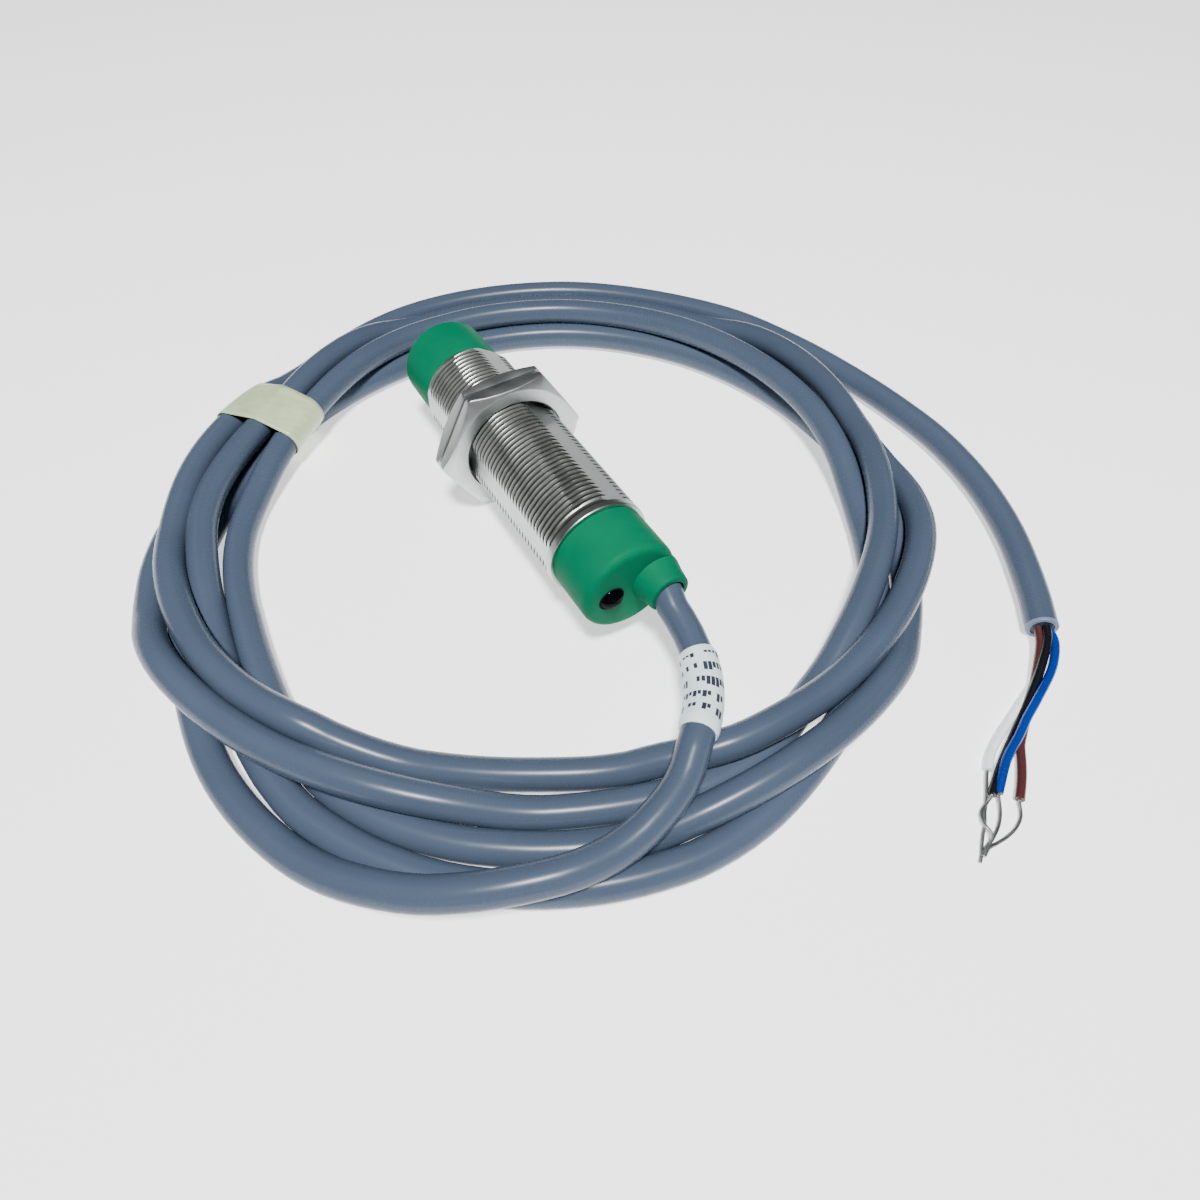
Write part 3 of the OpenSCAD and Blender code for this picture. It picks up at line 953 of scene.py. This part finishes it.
@dataclass
class Cable:
    """The jacketed cable, its label sleeve and the tape that ties its coil."""

    route: CableRoute = field(default_factory=CableRoute)
    jacket_length: float = 1.95
    exit: Spot = (0.0044, -0.0718, 0.0)
    label_from: float = 21.6 * MM
    label_length: float = 14.4 * MM
    label_r: float = 2.95 * MM
    tape_from: float = 119.6
    tape_to: float = 129.6
    tape_wall: float = 0.16 * MM
    tape_rows: int = 12
    tape_sides: int = 72
    coil_inner: float = 45 * MM
    rim: Sequence[Tuple[float, float]] = (
        (2.5, -0.4), (2.52, 0.0), (2.42, 0.14), (1.86, 0.16), (1.8, 0.05), (1.8, -0.4))

    def build(self) -> List[bpy.types.Object]:
        """Returns:
            The pieces.
        """
        self.path = self.route.settle()
        cable = Piece.carry(tube("cable", self.path, self.route.radius, JACKET, 24),
                            "cable_coil", "cable_lead", "cable_coil", "cable_tail")
        label = self.label()
        tape = self.tape()
        cut = self.cut_end()
        return [cable, label, tape, cut]

    def stretch(self, start: float, length: float, step: float) -> np.ndarray:
        """Returns the part of the centreline between two distances.

        Args:
            start: Distance of its start from the cable's inner end.
            length: Its length.
            step: Distance between samples.

        Returns:
            The samples.
        """
        return at_distances(self.path, np.linspace(start, start + length, int(length / step) + 1))

    def label(self) -> bpy.types.Object:
        """Makes the sleeve, with softly rolled ends."""
        line = self.stretch(self.label_from, self.label_length, 0.4 * MM)
        radii = np.full(len(line), self.label_r)
        for k, part in enumerate((0.9, 0.955, 0.985)):
            radii[k] *= part
            radii[-1 - k] *= part
        return Piece.carry(tube("label_film", line, radii, LABEL, 40), "label_sleeve", "label_sleeve")

    def tape(self) -> bpy.types.Object:
        """Wraps the tape tightly round the bundle, station by station."""
        centre = np.array(self.route.centre) * MM
        away = self.path[:, :2] - centre
        spokes = np.degrees(np.arctan2(away[:, 1], away[:, 0])) % 360
        radius = np.hypot(away[:, 0], away[:, 1])
        reach = self.route.radius + self.tape_wall
        points = []
        for spoke in np.linspace(self.tape_from, self.tape_to, self.tape_rows):
            spots = []
            for i in range(len(self.path) - 1):
                a, b = spokes[i] - spoke, spokes[i + 1] - spoke
                if a * b <= 0 and abs(a - b) < 20 and radius[i] > self.coil_inner:
                    t = a / (a - b) if a != b else 0.0
                    spots.append((radius[i] * (1 - t) + radius[i + 1] * t,
                                  self.path[i, 2] * (1 - t) + self.path[i + 1, 2] * t))
            turn = math.radians(spoke)
            for c, s in circle(self.tape_sides):
                far = max(spots, key=lambda p: p[0] * c + p[1] * s)
                r = far[0] + reach * c
                points.append((centre[0] + r * math.cos(turn), centre[1] + r * math.sin(turn),
                               far[1] + reach * s))
        faces = walls(self.tape_rows, self.tape_sides)
        made = Piece.outward(Piece.make("tape_tie", points, faces, TAPE))
        wall = made.modifiers.new("wall", "SOLIDIFY")
        wall.thickness = self.tape_wall
        wall.offset = 1.0
        return Piece.carry(made, "tape_band", "tape_band")

    def cut_end(self) -> bpy.types.Object:
        """Makes the pale cut rim at the jacket's end, open in the middle for the cores."""
        end = self.path[-1]
        ahead = self.path[-1] - self.path[-3]
        ahead /= np.linalg.norm(ahead)
        side, up = square_to(ahead)
        steps = 40
        points = [end + MM * (out * ahead + r * (c * side + s * up))
                  for r, out in self.rim for c, s in circle(steps)]
        made = Piece.make("jacket_rim", points, walls(len(self.rim), steps, True), PALE_CUT)
        return Piece.carry(Piece.sharpen(Piece.outward(made)), "cable_tail")


@dataclass
class CoreFan:
    """The four stripped cores that leave the jacket and meet in a twisted tip."""

    core_r: float = 0.7 * MM
    strand_r: float = 0.1 * MM
    lay_r: float = 0.17 * MM
    twist: float = 420.0
    least_cord: float = 0.03
    cores: Dict[str, Sequence[Spot]] = field(default_factory=lambda: {
        "brown": ((56, -103.1, -9.2), (54.6, -105, -9.6), (48.7, -109.4, -10.5), (40.1, -114.7, -11.1),
                  (38.4, -115.8, -11.2), (36.2, -117.9, -11.2), (34, -119.8, -11.2), (31.4, -121.7, -11.2)),
        "blue": ((57.4, -104.2, -9.6), (56.6, -106, -9.4), (52.6, -109.2, -9.5), (45.2, -112.2, -9.5),
                 (41.9, -113.4, -9.8), (38.6, -114.8, -10), (34.2, -116.5, -10.4), (29.5, -119.4, -11.1)),
        "black": ((56.7, -103.8, -8.5), (55.4, -105.4, -8.8), (50.8, -108.4, -9.6), (45, -111.4, -10.6),
                  (38.8, -114.2, -11), (33.8, -116.4, -11.2), (28.6, -119.1, -11.2)),
        "white": ((56.7, -103.7, -10.5), (54.6, -106.4, -10.9), (50, -109, -11.2), (44, -111, -11.2),
                  (38, -112.8, -11.2), (34.6, -114, -11.2), (32.8, -114.9, -11.2), (31.1, -116.1, -11.2)),
    })
    strands: Dict[str, Sequence[Spot]] = field(default_factory=lambda: {
        "brown": ((31.8, -121.4, -11.25), (31.3, -121.8, -11.4), (29.9, -123.4, -11.6), (28.2, -124.2, -11.7),
                  (26, -124.5, -11.7), (23.8, -124.4, -11.6), (22.2, -124.3, -11.4), (20.9, -124.8, -11.4)),
        "blue": ((29.9, -119.1, -11.2), (29.4, -119.6, -11.3), (28.1, -121.2, -11.5), (26.5, -122.5, -11.6),
                 (24.3, -123.5, -11.6), (22.3, -124, -11.5), (20.8, -124.5, -11.6)),
        "black": ((29, -118.9, -11.2), (28.4, -119.2, -11.3), (27.4, -119.5, -11.5), (25.3, -120.2, -11.6),
                  (24.3, -121.7, -11.2), (24.1, -123, -11.2), (23.2, -123.8, -11.4), (21.2, -124.4, -11.6)),
        "white": ((31.4, -115.8, -11.3), (30.9, -116.2, -11.4), (29.3, -117.6, -11.5), (27.5, -119.2, -11.6),
                  (26.1, -120.3, -11.7), (24.6, -121.6, -11.7), (22.7, -122.9, -11.7), (21, -124.3, -11.7),
                  (19.9, -125.1, -11.7)),
    })

    def build(self) -> List[bpy.types.Object]:
        """Makes the cores and conductors.

        Returns:
            The pieces.
        """
        metal = TINNED.build()
        lay = self.strand_tree(metal)
        made = []
        for name, spots in self.cores.items():
            path = smooth_path(np.array(spots) * MM, 0.7 * MM)
            core = tube("insulated_" + name, path, self.core_r, INSULATION[name], 16, 0.05 * MM)
            Piece.carry(core, "core_" + name, "core_" + name)
            wire = Piece.carry(self.twisted(name, lay, metal), "conductor_" + name, "conductor_" + name)
            made += [core, wire]
        return made

    def strand_tree(self, metal: bpy.types.Material) -> bpy.types.NodeTree:
        """Builds the tree that lays seven twisted strands along a line.

        Args:
            metal: The strands' material.

        Returns:
            The tree.
        """
        g = ShapeTree("twisted_strands", {"Strand radius": self.strand_r, "Lay radius": self.lay_r,
                                          "Twist": self.twist})
        curve = g.node("GeometryNodeMeshToCurve", {}, {"Mesh": g.inputs["Geometry"]})
        curve = g.node("GeometryNodeResampleCurve", {"mode": "LENGTH"}, {"Curve": curve, "Length": 0.00025})
        copies = g.node("GeometryNodeDuplicateElements", {"domain": "SPLINE"},
                        {"Geometry": curve, "Amount": 7})
        number = Sock(g, copies.socket.node.outputs["Duplicate Index"])
        length = g.node("GeometryNodeSplineParameter", output="Length")
        turn = length * g.inputs["Twist"] + number * (math.pi / 3)
        reach = g.inputs["Lay radius"] * number.above(0.5)
        normal = g.node("GeometryNodeInputNormal")
        tangent = g.node("GeometryNodeInputTangent")
        across = g.node("ShaderNodeVectorMath", {"operation": "CROSS_PRODUCT"}, {0: tangent, 1: normal})
        first = g.node("ShaderNodeVectorMath", {"operation": "SCALE"},
                       {0: normal, "Scale": reach * turn.math("COSINE")})
        second = g.node("ShaderNodeVectorMath", {"operation": "SCALE"},
                        {0: across, "Scale": reach * turn.math("SINE")})
        offset = g.node("ShaderNodeVectorMath", {"operation": "ADD"}, {0: first, 1: second})
        moved = g.node("GeometryNodeSetPosition", {}, {"Geometry": copies, "Offset": offset})
        ring = g.node("GeometryNodeCurvePrimitiveCircle", {"mode": "RADIUS"},
                      {"Resolution": 8, "Radius": g.inputs["Strand radius"]})
        skin = g.node("GeometryNodeCurveToMesh", {},
                      {"Curve": moved, "Profile Curve": ring, "Fill Caps": True})
        return g.close(g.node("GeometryNodeSetShadeSmooth", {}, {0: skin}), metal)

    def twisted(self, name: str, lay: bpy.types.NodeTree, metal: bpy.types.Material) -> bpy.types.Object:
        """Runs the tree along one conductor's line.

        Args:
            name: The core's colour.
            lay: The tree.
            metal: The strands' material.

        Returns:
            The conductor as a plain mesh.
        """
        path = smooth_path(np.array(self.strands[name]) * MM, 0.3 * MM)
        mesh = bpy.data.meshes.new("line_" + name)
        mesh.from_pydata([tuple(p) for p in path], [(i, i + 1) for i in range(len(path) - 1)], [])
        line = Piece.link("line_" + name, mesh)
        return bake_tree(line, lay, "stripped_" + name, {"Twist": self.twist}, metal)


def bake_tree(source: bpy.types.Object, group: bpy.types.NodeTree, name: str, values: Dict[str, float],
              material: bpy.types.Material) -> bpy.types.Object:
    """Runs a geometry tree on an object and keeps the result as a plain mesh.

    Args:
        source: The object that the tree starts from; it is removed.
        group: The tree.
        name: The new piece's name.
        values: Input name to value.
        material: The new piece's material.

    Returns:
        The new piece.
    """
    modifier = source.modifiers.new("shape", "NODES")
    modifier.node_group = group
    ids = {item.name: item.identifier for item in group.interface.items_tree if item.in_out == "INPUT"}
    for label, value in values.items():
        modifier[ids[label]] = value
    bpy.context.view_layer.update()
    graph = bpy.context.evaluated_depsgraph_get()
    mesh = bpy.data.meshes.new_from_object(source.evaluated_get(graph))
    source.modifiers.remove(modifier)
    bpy.data.objects.remove(source)
    mesh.name = name
    mesh.materials.clear()
    mesh.materials.append(material)
    return Piece.link(name, mesh)


# ---------------------------------------------------------------- housing

class Side(enum.Enum):
    """Which way a lock nut's chamfered face looks along the barrel."""

    FRONT = 1
    REAR = -1


@dataclass
class ThreadedBarrel:
    """The plated barrel: a fine right-hand thread cut by three flats, with a plain ring behind it."""

    front: float = 10.5
    length: float = 47.6
    crest: float = 9.0
    depth: float = 0.61
    pitch: float = 1.0
    bore: float = 7.5
    chamfer: float = 0.68
    chamfer_l: float = 1.1
    flat: float = 8.2
    flat_turn: float = 56.0
    thread_end: float = 45.9
    groove: float = 0.4
    groove_depth: float = 0.95
    plain_front: float = 0.3
    end_chamfer: float = 0.15
    rows: int = 381
    columns: int = 180

    def build(self) -> bpy.types.Object:
        """Makes the barrel.

        Returns:
            The barrel.
        """
        finish = Plated("threaded_nickel", (0.49, 0.53, 0.51), 0.34, root_r=(self.crest - self.depth) * MM,
                        crest_r=self.crest * MM, thread_from=-(self.front + self.plain_front) * MM,
                        thread_to=-(self.front + self.thread_end + self.groove) * MM, flat_r=self.flat * MM,
                        flat_turns=tuple(self.flat_turn + 120 * k for k in range(3))).build()
        seed = Piece.link("barrel_seed", bpy.data.meshes.new("barrel_seed"))
        skin = bake_tree(seed, self.thread_tree(finish), "threaded_barrel",
                         {"Pitch": self.pitch, "Depth": self.depth, "Flat": self.flat}, finish)
        with opened(skin) as work:
            self.ends(work)
            bmesh.ops.remove_doubles(work, verts=work.verts, dist=2e-6)
            bmesh.ops.recalc_face_normals(work, faces=work.faces)
            for face in work.faces:
                face.smooth = True
        return Piece.carry(Piece.sharpen(skin, 42.0), "barrel", "barrel")

    def edge_radius(self, step: int, radius: float, flats: bool) -> Tuple[float, float]:
        """Returns the angle and radius of the skin's edge at one column.

        Args:
            step: The column.
            radius: The round radius in millimetres.
            flats: True where the flats reach this edge.

        Returns:
            The angle in radians and the radius in millimetres.
        """
        a = 2 * math.pi * step / (self.columns - 1) - math.pi
        turn = (math.degrees(a) - self.flat_turn + 60) % 120 - 60
        return a, min(radius, self.flat / math.cos(math.radians(turn))) if flats else radius

    def ends(self, work: bmesh.types.BMesh) -> None:
        """Adds both end rings and the bore.

        Args:
            work: The skin that they close.
        """
        rows = []
        for s, radius, flats in ((0.0, self.crest - self.chamfer, True), (0.0, self.bore, False),
                                 (self.length, self.bore, False),
                                 (self.length, self.crest - self.end_chamfer, False)):
            row = []
            for step in range(self.columns):
                a, r = self.edge_radius(step, radius, flats)
                spot = (r * MM * math.cos(a), -(self.front + s) * MM, r * MM * math.sin(a))
                row.append(work.verts.new(spot))
            rows.append(row)
        for first, second in zip(rows, rows[1:]):
            for k in range(self.columns - 1):
                work.faces.new((first[k], first[k + 1], second[k + 1], second[k]))

    def thread_tree(self, metal: bpy.types.Material) -> bpy.types.NodeTree:
        """Builds the tree that rolls a grid into the barrel's outer skin.

        Args:
            metal: The barrel's material.

        Returns:
            The tree.
        """
        g = ShapeTree("thread_skin", {"Pitch": self.pitch, "Depth": self.depth, "Flat": self.flat})
        grid = g.node("GeometryNodeMeshGrid", {}, {"Vertices X": self.rows, "Vertices Y": self.columns,
                                                   "Size X": self.length, "Size Y": 2 * math.pi})
        x, a, _ = g.split(g.node("GeometryNodeInputPosition"))
        s = x + self.length / 2
        phase = (s / g.inputs["Pitch"] - a / (2 * math.pi)) % 1.0
        flank = (phase * 2 - 1).math("ABSOLUTE").ramp(0.14, 0.88)
        fade = s.ramp(self.chamfer_l - 0.2, self.chamfer_l + 0.4)
        fade = fade * (1 - s.ramp(self.thread_end - 0.8, self.thread_end))
        radius = self.crest - g.inputs["Depth"] * (1 - flank) * fade
        radius = radius.least(s * (self.chamfer / self.chamfer_l) + (self.crest - self.chamfer))
        groove_end = self.thread_end + self.groove
        gap = s.ramp(self.thread_end - 0.02, self.thread_end + 0.1)
        gap = gap * (1 - s.ramp(groove_end - 0.12, groove_end + 0.05))
        radius = radius - gap * self.groove_depth
        radius = radius.least(self.crest + self.length - self.end_chamfer - s)
        turn = (a - math.radians(self.flat_turn) + math.pi / 3) % (2 * math.pi / 3) - math.pi / 3
        plane = g.inputs["Flat"] / turn.math("COSINE") + s.above(self.thread_end + 0.2) * 5.0
        radius = radius.least(plane) * MM
        spot = g.join(radius * a.math("COSINE"), (s + self.front) * -MM, radius * a.math("SINE"))
        return g.close(g.node("GeometryNodeSetPosition", {}, {"Geometry": grid, "Position": spot}), metal)


@dataclass
class LockNut:
    """A thin hexagonal lock nut, chamfered on its outer face."""

    name: str
    body: str
    near: float
    side: Side
    thickness: float = 2.45
    across_flats: float = 24.0
    bore: float = 9.08
    face_r: float = 11.6
    back_r: float = 13.5
    soft: float = 0.1
    corner_from: float = 27.8
    corner_cut: float = 0.09

    def build(self) -> bpy.types.Object:
        """Makes the nut.

        Returns:
            The nut.
        """
        slope = math.tan(math.radians(30))
        near = (0.0, 0.35, 0.8, 1.4, 2.2)
        angles = sorted({round((60 * k + d) % 360, 4) for k in range(6)
                         for d in (*near, *(-x for x in near), *(5 + 50 * i / 16 for i in range(17)))})
        points: List[Spot] = []
        for degrees in angles:
            off = (degrees % 60) - 30
            hexagon = self.across_flats / 2 / math.cos(math.radians(off))
            corner = max(0.0, abs(off) - self.corner_from) / (30 - self.corner_from)
            hexagon -= self.corner_cut * corner * corner
            cut = max(0.0, (hexagon - self.face_r) * slope)
            back = max(0.0, (hexagon - self.back_r) * slope)
            t = self.thickness
            soft = self.soft
            lean = min(soft, cut * 0.4)
            ring = [(self.bore + 0.32, 0.0), (self.face_r - soft, 0.0), (self.face_r, 0.02 + 0.1 * soft),
                    (self.face_r + lean / slope * 0.6, 0.02 + lean * 0.6)]
            ring += [(hexagon - lean * 0.8, cut - lean * 0.35), (hexagon - lean * 0.12, cut + lean * 0.3),
                     (hexagon, cut + soft), (hexagon, t - back - soft),
                     (hexagon - soft * 0.25, t - back - soft * 0.25), (min(hexagon, self.back_r) - soft, t),
                     (self.bore + 0.2, t), (self.bore, t - 0.2), (self.bore, 0.32)]
            a = math.radians(degrees)
            for r, s in ring:
                behind = self.near + s if self.side is Side.FRONT else self.near + t - s
                points.append((r * MM * math.cos(a), -behind * MM, r * MM * math.sin(a)))
        made = Piece.make(self.name, points, walls(len(angles), len(ring), True), NICKEL)
        return Piece.carry(Piece.sharpen(Piece.outward(made), 40.0), self.body, self.body, body=self.body)


@dataclass
class Caps:
    """The two green mouldings that close the barrel, with the cable boss and the indicator lens."""

    front_r: float = 8.25
    front_l: float = 10.5
    rear_r: float = 8.4
    barrel_end: float = 58.1
    rear_end: float = 67.8
    spigot: float = 6.5
    spigot_r: float = 7.45
    boss_x: float = 4.4
    boss_end: float = 71.8
    lens_x: float = -3.7
    lens_r: float = 2.05
    lens_rise: float = 1.3

    def build(self) -> List[bpy.types.Object]:
        """Makes both caps, the lens and its rim.

        Returns:
            The pieces.
        """
        return [self.front(), self.rear(), self.lens(), self.rim()]

    def front(self) -> bpy.types.Object:
        """Makes the sensing cap."""
        end = self.front_l + self.spigot
        made = Piece.turned("sensing_cap", profile_of(
            [(0, 0), (self.front_r, 0), (self.front_r, self.front_l), (self.spigot_r, self.front_l),
             (self.spigot_r, end), (6.95, end), (6.95, 0.9), (0, 0.9)], {1: 0.7, 2: 0.15, 4: 0.3}), GREEN)
        return Piece.carry(made, "front_cap", "front_cap")

    def rear(self) -> bpy.types.Object:
        """Makes the rear cap and its boss as one moulding."""
        start = self.barrel_end - self.spigot
        cup = Piece.turned("rear_moulding", profile_of(
            [(0, self.rear_end), (self.rear_r, self.rear_end), (self.rear_r, self.barrel_end),
             (self.spigot_r, self.barrel_end), (self.spigot_r, start), (6.05, start),
             (6.05, self.rear_end - 2), (0, self.rear_end - 2)], {1: 1.5, 2: 0.15, 4: 0.3}), GREEN)
        boss = Piece.turned("boss", profile_of(
            [(2.58, 65.4), (3.7, 65.4), (4.45, 67.3), (3.95, 69.0), (3.5, self.boss_end),
             (2.58, self.boss_end)],
            {2: 0.9, 3: 1.2, 4: 0.45}), None, x=self.boss_x * MM, steps=72, closed=True)
        boss.data.materials.append(cup.data.materials[0])
        return Piece.carry(Piece.join("rear_moulding", [cup, boss]), "rear_cap", "rear_cap")

    def lens(self) -> bpy.types.Object:
        """Makes the dark domed lens."""
        ball = (self.lens_r ** 2 + self.lens_rise ** 2) / (2 * self.lens_rise)
        top = self.rear_end + self.lens_rise
        dome = []
        for i in range(17):
            r = self.lens_r * i / 16
            dome.append((r, top - ball + math.sqrt(ball * ball - r * r)))
        foot = self.rear_end - 1.9
        made = Piece.turned("domed_lens", dome + [(self.lens_r, foot), (0, foot)], LENS, x=self.lens_x * MM,
                            steps=64)
        return Piece.carry(made, "indicator_lens", "indicator_lens")

    def rim(self) -> bpy.types.Object:
        """Makes the thin ring round the lens."""
        loop = [(self.lens_r + 0.08 + 0.13 * c, self.rear_end + 0.12 * s) for c, s in circle(12)]
        made = Piece.turned("lens_ring", loop, RIM, x=self.lens_x * MM, steps=64, closed=True)
        return Piece.carry(made, "indicator_lens")


# ---------------------------------------------------------------- inside

@dataclass(frozen=True)
class Winding:
    """Enamelled copper wire in fine rounds."""

    name: str = "copper_rounds"

    def build(self) -> bpy.types.Material:
        """Returns the material."""
        s = Shader(self.name)
        bands = s.node("ShaderNodeTexWave", {"wave_type": "RINGS", "rings_direction": "Y"},
                       {"Vector": s.place(), "Scale": 1300.0, "Distortion": 0.3}, "Fac")
        s.feed(Base_Color=s.mix(bands, (0.2, 0.06, 0.02), (0.62, 0.26, 0.1)), Metallic=0.9, Roughness=0.32,
               Normal=s.bump(bands, 0.00003))
        return s.material


@dataclass(frozen=True)
class Board:
    """Green solder mask over copper lands."""

    name: str = "solder_mask"

    def build(self) -> bpy.types.Material:
        """Returns the material."""
        s = Shader(self.name)
        tracks = s.node("ShaderNodeTexBrick", {"offset": 0.5},
                        {"Vector": s.place(), "Scale": 900.0, "Mortar Size": 0.06, "Brick Width": 1.6,
                         "Row Height": 0.7}, "Fac")
        cloud = s.noise(0.002)
        s.feed(Base_Color=s.mix(tracks, (0.01, 0.11, 0.05), (0.03, 0.22, 0.09)),
               Roughness=0.32 + (cloud - 0.5) * 0.2, Normal=s.bump(tracks, 0.00002))
        return s.material


@dataclass
class Insides:
    """Finishes of the pieces inside the housing and of the washers."""

    finishes: Dict[str, Any] = field(default_factory=lambda: {
        "ferrite_core": Moulded("ferrite", (0.035, 0.035, 0.038), 0.55, 0.25, 0.00003),
        "coil_bobbin": Moulded("ivory_moulding", (0.68, 0.62, 0.42), 0.45),
        "coil_winding": Winding(),
        "core_holder": Moulded("black_moulding", (0.016, 0.016, 0.017), 0.45),
        "terminal_pins": Plated("tinned_pins", (0.6, 0.58, 0.5), 0.25),
        "potting_resin": Moulded("cast_resin", (0.26, 0.2, 0.08), 0.15, 0.2, 0.00003, light_through=0.2),
        "circuit_board": Board(),
        "controller_chip": Moulded("chip_black", (0.012, 0.012, 0.013), 0.5),
        "output_transistor": Moulded("transistor_black", (0.015, 0.015, 0.015), 0.45),
        "protection_diode": Moulded("diode_glass", (0.32, 0.06, 0.02), 0.08, 0.3, light_through=0.5),
        "capacitors": Moulded("capacitor_tan", (0.45, 0.3, 0.13), 0.4, 0.2),
        "resistors": Moulded("resistor_glaze", (0.02, 0.02, 0.026), 0.25),
        "status_led": Moulded("amber_led", (0.9, 0.5, 0.03), 0.08, light_through=0.6),
        "light_guide": Moulded("clear_rod", (0.85, 0.88, 0.9), 0.05, 0.03, light_through=0.9),
        "inner_wires": Moulded("wire_sheath", (0.07, 0.07, 0.08), 0.4, 0.2),
        "cap_seal": SEAL,
        "cable_clamp": Plated("crimp_metal", (0.62, 0.63, 0.62), 0.3),
        "cable_seal": SEAL,
        "front_washer": Plated("washer_metal", (0.24, 0.25, 0.24), 0.4),
        "rear_washer": Plated("washer_metal_rear", (0.24, 0.25, 0.24), 0.4),
    })

    def build(self) -> List[bpy.types.Object]:
        """Dresses the carried-over pieces.

        Returns:
            The pieces.
        """
        made = []
        for name, finish in self.finishes.items():
            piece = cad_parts[name]
            material = finish.build()
            for slot in piece.material_slots:
                slot.material = material
            made.append(piece)
        return made


# ---------------------------------------------------------------- studio

@dataclass
class Studio:
    """Camera, pale floor, one soft light and the room's glow."""

    spot: Spot = (-0.0441, -0.1301, 0.0968)
    turn: float = -31.6
    tilt: float = 37.4
    lens: float = 24.0
    key_spot: Spot = (-0.12, -0.25, 0.71)
    key_aim: Spot = (0.0, -0.05, 0.0)
    key_size: float = 0.12
    key_power: float = 12.0

    def camera(self) -> None:
        """Sets the camera."""
        data = bpy.data.cameras.new("camera")
        data.lens = self.lens
        data.sensor_width = 36.0
        data.clip_start = 0.002
        data.clip_end = 20.0
        data.dof.use_dof = False
        made = Piece.link("camera", data)
        made.location = self.spot
        made.rotation_euler = (math.radians(self.tilt), 0.0, math.radians(self.turn))
        bpy.context.scene.camera = made

    def floor(self) -> None:
        """Lays the pale floor."""
        half = 3.0
        s = Shader("pale_floor")
        cloud = s.noise(0.3)
        s.feed(Base_Color=s.mix(cloud, (0.93, 0.93, 0.93), (0.96, 0.96, 0.96)), Roughness=0.7,
               Emission_Color=(1.0, 1.0, 1.0), Emission_Strength=1.0)
        z = TABLE_Z - 0.00002
        made = Piece.make("floor", [(-half, -half, z), (half, -half, z), (half, half, z), (-half, half, z)],
                          [(0, 1, 2, 3)], s.material)

    def key(self) -> None:
        """Adds the soft square light."""
        data = bpy.data.lights.new("key", "AREA")
        data.size = self.key_size
        data.energy = self.key_power
        made = Piece.link("key", data)
        made.location = self.key_spot
        ahead = Vector(self.key_aim) - Vector(self.key_spot)
        made.rotation_euler = ahead.to_track_quat("-Z", "Y").to_euler()

    def build(self) -> None:
        """Makes the floor, the light and the room's glow."""
        self.floor()
        self.key()
        world = bpy.data.worlds.new("room")
        world.use_nodes = True
        room = NodeTree(world.node_tree)
        _, _, up = room.split(room.node("ShaderNodeTexCoord", output="Generated"))
        glow = 0.62 + up.ramp(0.1, 0.8) * 0.35
        world.node_tree.links.new(glow.socket, world.node_tree.nodes["Background"].inputs[1])
        bpy.context.scene.world = world


def main() -> None:
    """Builds every sub-assembly in order."""
    logging.basicConfig(level=logging.INFO, format="%(name)s: %(message)s")
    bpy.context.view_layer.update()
    studio = Studio()
    studio.camera()
    cable = Cable()
    for piece in cable.build():
        LOG.info("built %s", piece.name)
    LOG.info("the cable's centreline is %.3f m", length_of(cable.path))
    for piece in CoreFan().build():
        LOG.info("built %s", piece.name)
    LOG.info("built %s", ThreadedBarrel().build().name)
    for nut in (LockNut("lock_nut_front", "front_nut", 24.4, Side.FRONT),
                LockNut("lock_nut_rear", "rear_nut", 27.44, Side.REAR)):
        LOG.info("built %s", nut.build().name)
    for piece in Caps().build():
        LOG.info("built %s", piece.name)
    for piece in Insides().build():
        LOG.info("dressed %s", piece.name)
    studio.build()


if __name__ == "__main__":
    main()
